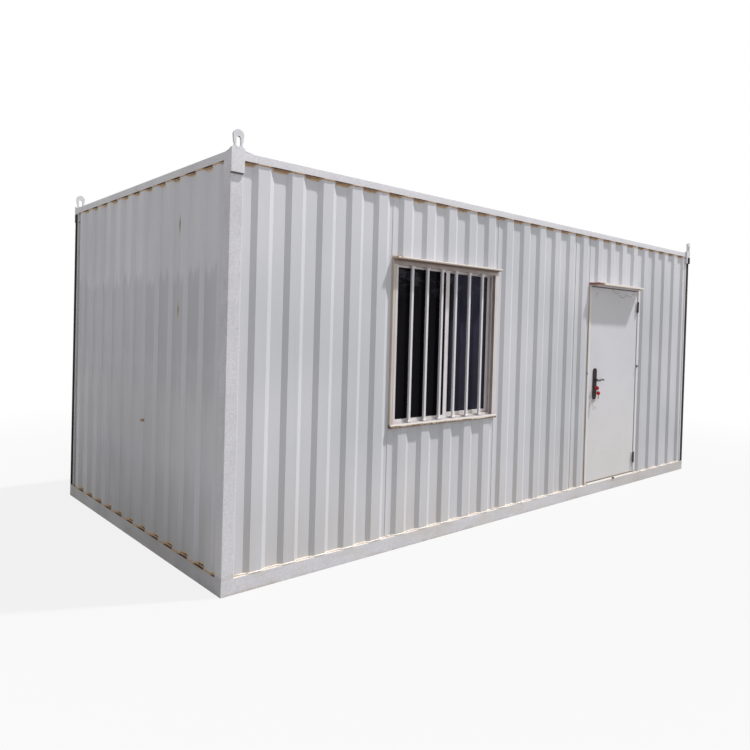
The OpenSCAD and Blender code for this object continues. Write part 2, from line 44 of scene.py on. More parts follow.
# Planes of the house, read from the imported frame
POST_LOW, POST_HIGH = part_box("corner_posts")
LEFT_X, FRONT_Y = POST_LOW.x, POST_LOW.y
RIGHT_X, BACK_Y = POST_HIGH.x, POST_HIGH.y
SHEET_BOTTOM, SHEET_TOP = POST_LOW.z, POST_HIGH.z
ROOF_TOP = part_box("front_top_rail")[1].z
SHEET_LOW, SHEET_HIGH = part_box("front_sheet_left")
POST_SIDE = SHEET_LOW.x - LEFT_X
JAMB_LOW, JAMB_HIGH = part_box("window_jambs")
HEAD_LOW, HEAD_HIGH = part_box("window_head")
SILL_LOW, SILL_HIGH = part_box("window_sill")
BARS_LOW, BARS_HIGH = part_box("security_bars")
GLASS_LOW, GLASS_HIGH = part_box("window_glass")
LEAF_LOW, LEAF_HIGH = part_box("door_leaf")
DOOR_LOW, DOOR_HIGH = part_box("door_jambs")
HOOD_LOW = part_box("door_hood")[0]
LOCK_LOW, LOCK_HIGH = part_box("lock_plates")
LOCK_X = (LOCK_LOW.x + LOCK_HIGH.x) / 2
LUG_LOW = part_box("lifting_lugs")[0]
LUG_HALF = LEFT_X + POST_SIDE / 2 - LUG_LOW.x
HINGE_STAND_OFF = 0.002
LINING_BOARD = 1.2
PAINT_SHEEN = 0.3


def paint(red, green, blue):
    """A colour from 0-255 display values."""
    def linear(v):
        v = v / 255.0
        return v / 12.92 if v <= 0.04045 else ((v + 0.055) / 1.055) ** 2.4
    return (linear(red), linear(green), linear(blue), 1.0)


# Wall, frame and surround paint, what stains it, and painted shade and highlight
WALL_WHITE = paint(199, 199, 204)
WALL_GREY = paint(187, 188, 193)
WASHED_AND_SHEEN_WHITE = paint(214, 213, 219)
FRAME_WHITE = paint(211, 209, 213)
FRAME_GREY = paint(172, 171, 175)
CREAM = paint(202, 196, 196)
CREAM_STAIN = paint(178, 168, 164)
LIP_HIGHLIGHT_CREAM = paint(220, 212, 200)
SHADE_BROWN = paint(138, 124, 118)
DOOR_WHITE = paint(196, 195, 199)
DUST_AND_REFLECTION_TAN = paint(180, 165, 142)
MUD_TAN = paint(168, 150, 126)
RUST_TAN = paint(182, 148, 108)
RUST_PALE = paint(216, 187, 148)
RUST_BROWN = paint(112, 76, 48)
RUST_RED = paint(128, 76, 58)
RUST_AND_SHADE_DARK = paint(58, 42, 34)
GRIME_AND_SHADE = paint(126, 125, 127)
FAR_POST_SHADE_BLACK = paint(38, 33, 32)
FOOT_CREAM = paint(217, 211, 202)
FRAME_BRIGHT = paint(222, 221, 224)
LEDGE_GREY = paint(188, 182, 174)
CREASE_SHADE_BROWN = paint(112, 92, 78)
REVEAL_SHADE_BROWN = paint(134, 118, 108)
WEB_GREY = paint(168, 157, 154)
SILL_GREY = paint(150, 144, 146)
SILL_RUST_AND_SHADE = paint(104, 82, 62)
BAR_WHITE = paint(214, 212, 216)
JAMB_WHITE = paint(206, 203, 205)
JAMB_TAN = paint(166, 148, 122)
TREAD_GREY = paint(170, 165, 160)
DOOR_CREAM = paint(204, 199, 190)
TRAIL_BROWN = paint(122, 108, 92)
# Roof, inside and window
ROOF_SHADED_WHITE = paint(170, 170, 171)
ROOF_SHADED_GREY = paint(148, 147, 146)
ROOF_DUST = paint(150, 139, 122)
LINING_WHITE = paint(214, 213, 208)
LINING_GREY = paint(196, 194, 188)
BOARD_BROWN = paint(124, 98, 72)
BOARD_DARK = paint(92, 68, 48)
BOARD_GRAIN = paint(74, 54, 38)
BOARD_WORN = paint(156, 136, 110)
ZINC_BRIGHT = paint(176, 178, 180)
ZINC_DULL = paint(168, 170, 172)
ZINC_BLOOM = paint(198, 198, 196)
WINDOW_WHITE = paint(208, 204, 206)
WINDOW_GREY = paint(186, 180, 180)
WINDOW_SHADE_BROWN = paint(150, 132, 126)
WINDOW_SHADE = paint(150, 140, 140)
GLASS_BLACK = paint(8, 6, 10)
GLASS_DARK = paint(17, 15, 20)
GLASS_BLUE = paint(44, 43, 55)
GLASS_PALE = paint(62, 62, 80)
GLASS_REFLECTION = paint(74, 74, 82)
# Door fittings, welds and seals
HINGE_DARK = paint(50, 47, 48)
HINGE_BROWN = paint(80, 68, 60)
LOCK_BLACK = paint(24, 22, 22)
LOCK_BROWN = paint(40, 34, 31)
LOCK_WORN = paint(104, 86, 72)
LEVER_BRIGHT = paint(116, 114, 112)
LEVER_DULL = paint(80, 78, 76)
LEVER_DARK = paint(58, 56, 54)
KEY_STEEL = paint(128, 120, 108)
KEY_DARK = paint(64, 58, 52)
KEY_RED = paint(206, 24, 40)
KEY_DEEP_RED = paint(160, 12, 24)
OLD_RUST = paint(92, 74, 50)
SEAL_BLACK = paint(26, 25, 26)
SEAL_DUST = paint(92, 88, 82)
FITTING_DARK = paint(46, 43, 43)
FITTING_RUST = paint(96, 72, 54)


class Pattern:
    """A number or colour that changes from place to place; sums and products make new ones."""

    def __init__(self, coat, socket):
        self.coat = coat
        self.socket = socket

    def worked(self, operation, other=0.0):
        return self.coat.made("ShaderNodeMath", (self, other), operation=operation)

    def __mul__(self, other):
        return self.worked("MULTIPLY", other)

    def __add__(self, other):
        return self.worked("ADD", other)

    __radd__ = __add__

    def __sub__(self, other):
        return self.worked("SUBTRACT", other)

    def __abs__(self):
        return self.worked("ABSOLUTE")

    def most(self, other):
        return self.worked("MAXIMUM", other)

    def to_and_fro(self, length):
        """Rises from 0 to length and falls back to 0, over and over."""
        return self.worked("PINGPONG", length)

    def band(self, low, high, least=0.0, greatest=1.0):
        """Runs smoothly from least at low to greatest at high."""
        return self.coat.made("ShaderNodeMapRange", (self, low, high, least, greatest),
                              interpolation_type="SMOOTHSTEP")

    def near(self, centre, half):
        """1 at centre, 0 further away than half."""
        return abs(self - centre).band(half, 0.0)


class Coat:
    """One procedural finish: patterns on Object coordinates that feed a Principled shader."""

    def __init__(self, name, **sockets):
        self.material = bpy.data.materials.new(name)
        self.material.use_nodes = True
        self.tree = self.material.node_tree
        self.shader = self.tree.nodes["Principled BSDF"]
        self.shader.inputs["Specular IOR Level"].default_value = PAINT_SHEEN
        for socket, value in sockets.items():
            self.shader.inputs[socket.replace("_", " ")].default_value = value
        coords = self.tree.nodes.new("ShaderNodeTexCoord")
        self.place = Pattern(self, coords.outputs["Object"])
        self.x, self.y, self.z = self.split(self.place)
        self.face_x, self.face_y, self.face_z = self.split(Pattern(self, coords.outputs["Normal"]))

    def plug(self, socket, value):
        if isinstance(value, Pattern):
            self.tree.links.new(value.socket, socket)
        else:
            socket.default_value = value

    def made(self, kind, inputs, **settings):
        """A new node with its first inputs filled in; its first output as a pattern."""
        node = self.tree.nodes.new(kind)
        for setting, value in settings.items():
            setattr(node, setting, value)
        for socket, value in zip(node.inputs, inputs):
            self.plug(socket, value)
        return Pattern(self, node.outputs[0])

    def split(self, vector):
        node = self.tree.nodes.new("ShaderNodeSeparateXYZ")
        self.plug(node.inputs[0], vector)
        return [Pattern(self, socket) for socket in node.outputs]

    def grain(self, scale, detail=4.0, rough=0.6, stretch=(1, 1, 1)):
        """Cloudy noise with scale cells to the metre, drawn out along an axis where stretch is small."""
        mapping = self.tree.nodes.new("ShaderNodeMapping")
        noise = self.tree.nodes.new("ShaderNodeTexNoise")
        mapping.inputs["Scale"].default_value = stretch
        self.plug(mapping.inputs["Vector"], self.place)
        self.tree.links.new(mapping.outputs[0], noise.inputs["Vector"])
        for socket, value in (("Scale", scale), ("Detail", detail), ("Roughness", rough)):
            noise.inputs[socket].default_value = value
        return Pattern(self, noise.outputs[0])

    def flakes(self, scale):
        node = self.tree.nodes.new("ShaderNodeTexVoronoi")
        self.plug(node.inputs["Vector"], self.place)
        node.inputs["Scale"].default_value = scale
        return Pattern(self, node.outputs["Color"])

    def over(self, amount, under, top):
        """Two colours mixed: under where amount is 0, top where it is 1."""
        node = self.tree.nodes.new("ShaderNodeMix")
        node.data_type = "RGBA"
        for k, value in ((0, amount), (6, under), (7, top)):
            self.plug(node.inputs[k], value)
        return Pattern(self, node.outputs[2])

    def stain(self, amount, top):
        """Lays one more coat over the colour so far."""
        self.colour = self.over(amount, self.colour, top)

    def done(self, roughness, height, depth, strength):
        bump = self.tree.nodes.new("ShaderNodeBump")
        bump.inputs["Strength"].default_value = strength
        bump.inputs["Distance"].default_value = depth
        self.plug(bump.inputs["Height"], height)
        self.plug(self.shader.inputs["Base Color"], self.colour)
        self.plug(self.shader.inputs["Roughness"], roughness)
        self.tree.links.new(bump.outputs[0], self.shader.inputs["Normal"])
        return self.material


def fold_line(node_name, axis, inward):
    """Folds of a ribbed sheet as (place along the wall, depth of its outer face), read from its solid."""
    along, across = (0, 1) if axis == "y" else (1, 0)
    node = nodes[node_name]
    outer = {}
    for vertex in node.data.vertices:
        spot = node.matrix_world @ vertex.co
        place = round(spot[along], 4)
        outer[place] = min(outer.get(place, math.inf), spot[across] * inward)
    return sorted(outer.items())


def trough_rhythm(node_name, axis, inward):
    """Centre of one trough of a ribbed sheet and the pitch of its ribs."""
    folds = fold_line(node_name, axis, inward)
    deepest = max(depth for place, depth in folds)
    floors = [(start + end) / 2 for (start, deep), (end, deeper) in zip(folds, folds[1:])
              if min(deep, deeper) > deepest - 0.001]
    return floors[1], floors[2] - floors[1]


def sheet_finish(name, node_name, axis, inward, foot_colour, film, foot_shade=0.0, marks=()):
    """Satin white paint on a ribbed wall sheet, rusted along its top and bottom edges, with painted shade in
    its troughs under the rail and at the foot.

    film: strength of a grey belt, thin near the roof: a film of dust on the front and back, painted
    reflection and shade on the end walls.
    foot_shade: height of the painted shade, with dirt, at the foot of each trough.
    marks: rust streaks as (place along the wall, half width, low z, high z, strength).
    """
    coat = Coat(name)
    along = coat.x if axis == "y" else coat.y
    cloud = coat.grain(0.8, 2.0, 0.5)
    streak = coat.grain(9.0, stretch=(1, 1, 0.04))
    mottle = coat.grain(42.0, 5.0, 0.65)
    ragged = coat.grain(24.0, 4.0, 0.65, (1, 1, 0.6))
    coat.colour = coat.over(cloud.band(0.35, 0.7), WALL_WHITE, WALL_GREY)
    coat.stain(streak.band(0.58, 0.8, 0.0, 0.16), GRIME_AND_SHADE)
    coat.stain(mottle.band(0.62, 0.8, 0.0, 0.12), DUST_AND_REFLECTION_TAN)
    level = coat.z + (streak - 0.5) * 0.5
    if axis == "y":
        dust_and_reflection_belt = level.band(2.35, 1.65, 0.2, 1.0) * coat.x.band(-1.5, RIGHT_X, 1.0, 1.9)
        washed = level.band(0.37, 0.34) * coat.x.band(DOOR_HIGH.x - 0.1, DOOR_HIGH.x)
        coat.stain(washed * 0.12, WASHED_AND_SHEEN_WHITE)
        muddy = coat.x.band(DOOR_LOW.x, DOOR_HIGH.x, 0.24, 0.08)
        plane = FRONT_Y if inward > 0 else BACK_Y
        scallop = ((coat.y - plane) * inward).band(0.008, 0.022)
    else:
        flat = abs(coat.face_x).band(0.92, 0.97)
        # painted reflection: the end-wall slopes are lightened strongly, the flats a little
        coat.stain(flat.band(1.0, 0.0, 0.15, 0.85), WASHED_AND_SHEEN_WHITE)
        # painted reflection and shade: grey bands by height on the end-wall flats
        dust_and_reflection_belt = level.band(1.96, 1.86) * level.band(0.95, 1.35, 0.2, 1.0)
        dust_and_reflection_belt = dust_and_reflection_belt.most(level.band(0.8, 0.45, 0.0, 0.7))
        dust_and_reflection_belt *= flat.band(0.0, 1.0, 0.2, 1.0)
        # painted reflection: a warm band across the end wall around 0.95 m
        coat.stain(level.near(0.95, 0.45) * 0.1, DUST_AND_REFLECTION_TAN)
        # painted reflection: a pale line across the end wall at 1.32 m
        coat.stain(level.near(1.32, 0.09) * 0.25, WASHED_AND_SHEEN_WHITE)
        centre, pitch = trough_rhythm(node_name, axis, inward)
        beside = (along - centre).to_and_fro(pitch / 2)
        scallop = beside.band(0.085, 0.015)
        muddy = 0.16
    # dust film on the front and back, painted reflection and shade on the end walls
    coat.stain(dust_and_reflection_belt * film, GRIME_AND_SHADE)
    splash = coat.z.band(0.9, SHEET_BOTTOM) * streak.band(0.25, 0.65)
    coat.stain(splash * muddy, DUST_AND_REFLECTION_TAN)
    up = coat.z - SHEET_BOTTOM + ragged.band(0.3, 0.75, 0.003, -0.003)
    foot_shade_height = scallop * foot_shade
    foot_rust = up.band(foot_shade_height + 0.013, foot_shade_height + 0.006)
    below_rail = coat.z * -1.0 + SHEET_TOP
    reach = 0.01 + scallop * 0.02
    head = below_rail + ragged.band(0.3, 0.75, 0.004, -0.005)
    head_rust = head.band(reach, reach * 0.6)
    rust = head_rust * scallop.band(0.0, 1.0, 0.6, 0.9)
    tone = coat.over(mottle.band(0.5, 0.74), RUST_TAN if axis == "y" else RUST_PALE, RUST_BROWN)
    for place, half, low, high, strength in marks:
        line = along.near(place, half) * coat.z.near((low + high) / 2, (high - low) / 2)
        line *= ragged.band(0.3, 0.52)
        rust = rust.most(line * strength)
        tone = coat.over(line * strength, tone, RUST_BROWN)
    # painted shade with rust: a dark strip just under the top rail in each trough
    tone = coat.over(below_rail.band(0.012, 0.005) * scallop, tone, RUST_AND_SHADE_DARK)
    foot_tone = coat.over(mottle.band(0.54, 0.68), foot_colour, RUST_BROWN)
    coat.stain(foot_rust * 0.9, foot_tone)
    # painted shade with dirt: the dark foot of each trough
    coat.stain(scallop * up.band(foot_shade_height, foot_shade_height * 0.8), RUST_AND_SHADE_DARK)
    coat.stain(rust, tone)
    rough = (cloud + rust * 0.6).band(0.3, 1.2, 0.36, 0.72)
    wave = coat.grain(1.3, 2.0, 0.5, (1, 1, 0.45))
    height = wave * 5.0 + mottle * 0.12 + rust * 0.5
    return coat.done(rough, height, 0.002, 0.3)


def frame_finish(name):
    """Brushed white paint on posts, rails and lugs: speckled, thin mud at the ground, rusty underneath, with
    painted shade underneath, on left-facing rail faces, below the lugs and on the far posts.
    """
    coat = Coat(name)
    cloud = coat.grain(4.5)
    speck = coat.grain(85.0, 4.0, 0.7)
    brush = coat.grain(26.0, 3.0, 0.6, (1, 1, 0.18))
    blotch = coat.grain(75.0)
    coat.colour = coat.over(cloud.band(0.42, 0.76, 0.0, 0.3), FRAME_WHITE, FRAME_GREY)
    coat.stain(blotch.band(0.46, 0.6, 0.0, 0.26), FRAME_GREY)
    coat.stain(blotch.band(0.44, 0.34, 0.0, 0.3), FRAME_BRIGHT)
    coat.stain(speck.band(0.54, 0.72, 0.0, 0.38), FRAME_GREY)
    coat.stain(brush.band(0.58, 0.8, 0.0, 0.2), FRAME_GREY)
    rail = coat.z.band(0.13, 0.11)
    coat.stain(rail * coat.grain(3.0, stretch=(1, 1, 4)).band(0.42, 0.66, 0.0, 0.3), DUST_AND_REFLECTION_TAN)
    coat.stain(rail * coat.x.band(-0.5, RIGHT_X, 0.0, 0.26), DUST_AND_REFLECTION_TAN)
    film = 0.14 + rail * coat.x.band(-0.5, RIGHT_X, 0.0, 0.2)
    # painted shade: the left-facing faces of the bottom rails are darkened more
    film += rail * coat.face_x.band(-0.5, -0.9, 0.0, 0.22)
    coat.stain(film * coat.z.band(SHEET_TOP, SHEET_TOP - 0.2), GRIME_AND_SHADE)
    splash = coat.z + brush.band(0.3, 0.7, 0.006, -0.01)
    splash += cloud.band(0.4, 0.7, 0.012, 0.0)
    coat.stain(splash.band(0.018, 0.0, 0.0, 0.45), MUD_TAN)
    ledge = rail * coat.face_z.band(0.6, 0.9)
    coat.stain(ledge, LEDGE_GREY)
    coat.stain(ledge * speck.band(0.5, 0.62, 0.0, 0.8), RUST_TAN)
    # painted shade with dirt: the end bottom rails' tops, dark where the troughs open onto them
    end_ledge_dirt_and_shade = ledge * abs(coat.x).band(RIGHT_X - 0.034, RIGHT_X - 0.028)
    coat.stain(end_ledge_dirt_and_shade, coat.over(speck.band(0.45, 0.65), RUST_AND_SHADE_DARK, RUST_BROWN))
    lug_inner = RIGHT_X - POST_SIDE / 2 - LUG_HALF
    # painted shadow: a dark line on the post fronts just under the lug plates
    shadow_under_lug = coat.z.near(LUG_LOW.z - 0.004, 0.009) * abs(coat.x).band(lug_inner - 0.004, lug_inner)
    shadow_under_lug *= abs(coat.face_y).band(0.5, 0.9)
    coat.stain(shadow_under_lug * 0.8, RUST_AND_SHADE_DARK)
    # rust with painted shade: the undersides above 1 m
    under = coat.face_z.band(-0.6, -0.9) * coat.z.band(1.0, 1.2)
    chip = speck.band(0.69, 0.74) * cloud.band(0.52, 0.64)
    rust = under.most(chip * 0.7)
    coat.stain(rust, coat.over(speck.band(0.4, 0.62), RUST_AND_SHADE_DARK, RUST_BROWN))
    # painted shade: near-black strips without sheen on the faces of the far corner posts
    between = coat.z.band(SHEET_BOTTOM, SHEET_BOTTOM + 0.01) * coat.z.band(SHEET_TOP, SHEET_TOP - 0.01)
    far_front = coat.face_y.band(-0.5, -0.8) * coat.x.band(RIGHT_X - 0.066, RIGHT_X - 0.06)
    far_end = coat.face_x.band(-0.5, -0.8) * coat.y.band(BACK_Y - 0.075, BACK_Y - 0.069)
    dark = far_front.most(far_end) * between
    pitch = coat.over(brush.band(0.55, 0.85, 0.0, 0.7), FAR_POST_SHADE_BLACK, RUST_BROWN)
    coat.stain(dark * 0.95, pitch)
    coat.plug(coat.shader.inputs["Specular IOR Level"], dark.band(0.0, 1.0, PAINT_SHEEN, 0.0))
    rough = (cloud + rust + dark).band(0.3, 1.4, 0.4, 0.9)
    height = speck * 0.5 + brush * 0.4 + rust * -0.6
    return coat.done(rough, height, 0.0012, 0.4)


class Cream(Coat):
    """Cream brushed paint of the window and door surrounds, before its own stains."""

    def __init__(self, name):
        super().__init__(name)
        self.cloud = self.grain(5.0)
        self.speck = self.grain(60.0, 4.0, 0.7)
        self.run = self.grain(30.0, 3.0, 0.6, (1, 1, 0.12))
        self.colour = self.over(self.cloud.band(0.42, 0.74, 0.0, 0.35), CREAM, CREAM_STAIN)
        self.stain(self.run.band(0.54, 0.8, 0.0, 0.3), CREAM_STAIN)
        self.rust = self.speck.band(0.62, 0.7) * self.cloud.band(0.48, 0.62)
        self.tone = self.over(self.speck.band(0.36, 0.66), RUST_BROWN, RUST_TAN)
        self.left_side = self.face_x.band(-0.5, -0.9)
        self.front = self.face_y.band(-0.5, -0.9)
        self.underside = self.face_z.band(-0.5, -0.9)

    def coated(self):
        self.stain(self.rust * 0.85, self.tone)
        rough = (self.cloud + self.rust).band(0.3, 1.4, 0.4, 0.8)
        height = self.speck * 0.5 + self.run * 0.6 + self.rust * -0.5
        return self.done(rough, height, 0.0012, 0.4)


def window_surround_finish(name):
    """Grey-white surround: cream lips lightened by a painted highlight, a brown head under the hood in
    painted shade with rust, a brown right reveal in painted shade, rust and painted shade under the sill.
    """
    coat = Cream(name)
    behind = coat.y.band(JAMB_LOW.y - 0.012, JAMB_LOW.y - 0.004)
    # painted shade with rust stain: the head's face under the hood, darkest in the crease just below it
    head = coat.front * behind * coat.z.band(JAMB_HIGH.z - 0.004, JAMB_HIGH.z + 0.004)
    coat.stain(head * coat.cloud.band(0.3, 0.7, 0.6, 0.95), SHADE_BROWN)
    crease_shade = head * coat.z.band(HEAD_HIGH.z - 0.032, HEAD_HIGH.z - 0.018)
    coat.stain(crease_shade * 0.8, CREASE_SHADE_BROWN)
    # painted shade: the right jamb's left-facing inner reveal
    inner = coat.left_side * coat.x.band(JAMB_LOW.x + 0.02, JAMB_LOW.x + 0.03)
    coat.stain(inner * coat.run.band(0.3, 0.65, 0.55, 0.9), REVEAL_SHADE_BROWN)
    outer = coat.left_side * coat.x.band(JAMB_LOW.x + 0.03, JAMB_LOW.x + 0.02)
    coat.stain(outer * 0.6, DUST_AND_REFLECTION_TAN)
    on_front = coat.front * coat.z.band(JAMB_HIGH.z, JAMB_HIGH.z - 0.01)
    edge = on_front * coat.x.band(JAMB_LOW.x + 0.016, JAMB_LOW.x + 0.006)
    coat.stain(edge * coat.run.band(0.35, 0.6, 0.4, 0.9), DUST_AND_REFLECTION_TAN)
    web = (on_front * coat.x.band(JAMB_LOW.x + 0.03, JAMB_LOW.x + 0.027)
           * coat.x.band(JAMB_LOW.x + 0.014, JAMB_LOW.x + 0.017))
    coat.stain(web * 0.7, WEB_GREY)
    top_face = coat.face_z.band(0.5, 0.9) * coat.z.band(SILL_HIGH.z + 0.1, SILL_HIGH.z)
    coat.stain(top_face * coat.speck.band(0.3, 0.6, 0.75, 0.95), SILL_GREY)
    # painted highlight: the fronts of the lips are lightened
    lips = coat.front * coat.y.band(JAMB_LOW.y - 0.006, JAMB_LOW.y - 0.012)
    coat.stain(lips * 0.85, LIP_HIGHLIGHT_CREAM)
    # painted shade: the lower part of the hood lip
    lower_lip_shade = (lips * coat.z.band(HEAD_HIGH.z - 0.005, HEAD_HIGH.z - 0.009)
                 * coat.z.band(SILL_HIGH.z, SILL_HIGH.z + 0.1))
    coat.stain(lower_lip_shade * 0.8, SHADE_BROWN)
    # rust with painted shade: a dark line under the sill
    wavy = coat.z + coat.cloud.band(0.3, 0.7, 0.006, -0.006)
    low = wavy.band(SILL_LOW.z + 0.016, SILL_LOW.z + 0.009)
    coat.stain(low * coat.speck.band(0.34, 0.54, 0.5, 1.0), SILL_RUST_AND_SHADE)
    # rust with painted shade on the undersides
    coat.rust = coat.rust.most(coat.underside * 0.8)
    corner = (coat.x.band(HEAD_LOW.x + 0.1, HEAD_LOW.x + 0.03)
              * coat.z.band(HEAD_HIGH.z - 0.02, HEAD_HIGH.z - 0.012))
    coat.rust = coat.rust.most(corner * coat.speck.band(0.42, 0.58))
    return coat.coated()


def bar_finish(name):
    """White brushed paint on the security bars, rusted where they are welded in."""
    coat = Cream(name)
    coat.stain(0.85, BAR_WHITE)
    coat.stain(coat.run.band(0.5, 0.78, 0.0, 0.25), CREAM_STAIN)
    low = coat.z.band(BARS_LOW.z + 0.03, BARS_LOW.z + 0.005)
    high = coat.z.band(BARS_HIGH.z - 0.05, BARS_HIGH.z - 0.005)
    coat.rust = (coat.rust * 0.4).most(low.most(high) * coat.speck.band(0.46, 0.66, 0.0, 0.55))
    return coat.coated()


def door_frame_finish(name):
    """Cream door frame: tan outer edge, red rust on the hood's left cheek, rust specks on the threshold, a
    painted highlight on the hood's lip, rust and painted shade on the undersides.
    """
    coat = Cream(name)
    coat.stain(coat.z.band(HOOD_LOW.z - 0.02, HOOD_LOW.z - 0.03) * 0.75, JAMB_WHITE)
    # painted highlight: the front of the hood lip is lightened
    lip = coat.front * coat.y.band(FRONT_Y - 0.01, FRONT_Y - 0.02)
    coat.stain(lip * 0.85, LIP_HIGHLIGHT_CREAM)
    edge = coat.x.band(DOOR_LOW.x + 0.013, DOOR_LOW.x + 0.004) * coat.z.band(HOOD_LOW.z, HOOD_LOW.z - 0.01)
    coat.stain(edge * coat.run.band(0.3, 0.6, 0.5, 0.95), JAMB_TAN)
    cheek = (coat.x.band(DOOR_LOW.x + 0.15, DOOR_LOW.x + 0.09)
             * coat.z.band(HOOD_LOW.z - 0.003, HOOD_LOW.z + 0.003))
    cheek *= coat.face_z.band(0.9, 0.5)
    coat.stain(cheek * coat.speck.band(0.3, 0.5, 0.6, 1.0), RUST_RED)
    tread = coat.face_z.band(0.5, 0.9) * coat.z.band(SHEET_BOTTOM + 0.1, SHEET_BOTTOM + 0.05)
    coat.stain(tread * 0.85, TREAD_GREY)
    dent = coat.x.near(DOOR_LOW.x + 0.006, 0.012) * coat.z.near(LOCK_HIGH.z - 0.05, 0.022)
    coat.stain(dent, RUST_AND_SHADE_DARK)
    foot = (coat.z + coat.run.band(0.3, 0.7, 0.02, -0.02)).band(SHEET_BOTTOM + 0.035, SHEET_BOTTOM + 0.005)
    half = (DOOR_HIGH.x - DOOR_LOW.x) / 2
    foot *= abs(coat.x - (DOOR_LOW.x + half)).band(half - 0.06, half - 0.05)
    coat.rust = coat.rust.most(foot * coat.speck.band(0.42, 0.6, 0.1, 0.8))
    # rust with painted shade on the undersides
    coat.rust = coat.rust.most(coat.underside * 0.6)
    return coat.coated()


def door_finish(name):
    """Smooth white door paint: a thin wandering stain under the hood, scuffs at the lock, specks low down."""
    coat = Coat(name)
    cloud = coat.grain(1.6, 3.0, 0.5)
    drip = coat.grain(14.0, 4.0, 0.65, (1, 1, 0.05))
    scuff = coat.grain(24.0, 5.0, 0.7, (1, 1, 0.5))
    speck = coat.grain(70.0, 2.0, 0.5)
    coat.colour = coat.over(cloud.band(0.4, 0.75, 0.0, 0.6), DOOR_WHITE, WALL_GREY)
    coat.stain(coat.z.band(1.3, 0.3, 0.0, 0.35), DOOR_CREAM)
    high = coat.z.band(LEAF_HIGH.z - 0.5, LEAF_HIGH.z)
    coat.stain(high * drip.band(0.52, 0.74, 0.0, 0.22), DUST_AND_REFLECTION_TAN)
    wander = coat.z + coat.grain(9.0, stretch=(1, 1, 0)).band(0.2, 0.8, -0.04, 0.04)
    middle = (LEAF_LOW.x + LEAF_HIGH.x) / 2
    droop = wander + coat.x.near(middle + 0.2, 0.32) * 0.045
    trail = droop.near(LEAF_HIGH.z - 0.022, 0.006) * coat.x.band(middle - 0.1, middle - 0.03)
    lean = wander + (coat.x - LEAF_LOW.x) * -1.6
    short = lean.near(LEAF_HIGH.z - 0.225, 0.009) * coat.x.near(LEAF_LOW.x + 0.09, 0.06)
    trail = trail.most(short) * coat.z.band(LEAF_HIGH.z - 0.16, LEAF_HIGH.z - 0.13)
    coat.stain(trail * scuff.band(0.32, 0.5, 0.35, 0.9), TRAIL_BROWN)
    coat.stain(scuff.band(0.64, 0.78, 0.0, 0.2), GRIME_AND_SHADE)
    low = (coat.z + scuff.band(0.3, 0.7, 0.0, -0.008)).band(LEAF_LOW.z + 0.01, LEAF_LOW.z + 0.002)
    coat.stain(low * 0.6, DUST_AND_REFLECTION_TAN)
    spots = speck.band(0.7, 0.74) * coat.z.near(LEAF_LOW.z + 0.4, 0.5)
    coat.stain(spots * 0.7, RUST_BROWN)
    hand = coat.x.near(LOCK_X, 0.12) * coat.z.near(LOCK_LOW.z - 0.04, 0.16)
    coat.stain(hand * scuff.band(0.5, 0.62, 0.0, 0.55), RUST_BROWN)
    scratch = coat.x.near(LEAF_LOW.x + 0.01, 0.005) * coat.z.near(LOCK_LOW.z - 0.02, 0.2)
    coat.stain(scratch * scuff.band(0.36, 0.52), RUST_AND_SHADE_DARK)
    rough = (cloud + scuff).band(0.6, 1.4, 0.36, 0.6)
    height = coat.grain(1.5, 2.0, 0.55) * 4.0 + scuff * 0.2
    return coat.done(rough, height, 0.0015, 0.25)


def roof_finish(name):
    """Weathered white roof sheet: dust in the troughs and rust round the edges; its base is a grey darker
    than the walls, painted shade against the strong key from above.
    """
    coat = Coat(name)
    cloud = coat.grain(1.4)
    run = coat.grain(6.0, stretch=(0.15, 1, 1))
    speck = coat.grain(45.0, 5.0, 0.65)
    trough = coat.z.band(ROOF_TOP - 0.009, ROOF_TOP - 0.015)
    # painted shade: the roof's base is greyer than the walls to hold back the strong key from above
    coat.colour = coat.over(cloud.band(0.35, 0.7), ROOF_SHADED_WHITE, ROOF_SHADED_GREY)
    coat.stain(trough * run.band(0.35, 0.65, 0.25, 0.8), ROOF_DUST)
    coat.stain(run.band(0.55, 0.8, 0.0, 0.5), GRIME_AND_SHADE)
    rim_x = abs(coat.x).band(RIGHT_X - 0.16, RIGHT_X - 0.01)
    rust = rim_x.most(cloud.band(0.6, 0.78)) * speck.band(0.46, 0.66)
    coat.stain(rust * 0.8, coat.over(speck, RUST_TAN, RUST_BROWN))
    rough = cloud.band(0.3, 0.8, 0.5, 0.8)
    height = coat.grain(2.0, 2.0, 0.55) * 5.0 + speck * 0.3
    return coat.done(rough, height, 0.002, 0.35)


def lining_finish(name):
    """Matt white inner facing in upright boards, with fine joints and a scuffed foot."""
    coat = Coat(name)
    cloud = coat.grain(1.6, 3.0, 0.5)
    speck = coat.grain(90.0, 3.0, 0.6)
    beside = (coat.x + coat.y).to_and_fro(LINING_BOARD / 2)
    upright = abs(coat.face_z).band(0.5, 0.2)
    joint = upright * beside.band(0.0035, 0.0015)
    coat.colour = coat.over(cloud.band(0.4, 0.75), LINING_WHITE, LINING_GREY)
    coat.stain(joint * 0.6, GRIME_AND_SHADE)
    foot = coat.z.band(0.34, 0.1) * cloud.band(0.35, 0.6)
    coat.stain(foot * 0.4, DUST_AND_REFLECTION_TAN)
    rough = cloud.band(0.3, 0.8, 0.5, 0.66)
    height = speck * 0.3 + joint * -1.0
    return coat.done(rough, height, 0.001, 0.3)


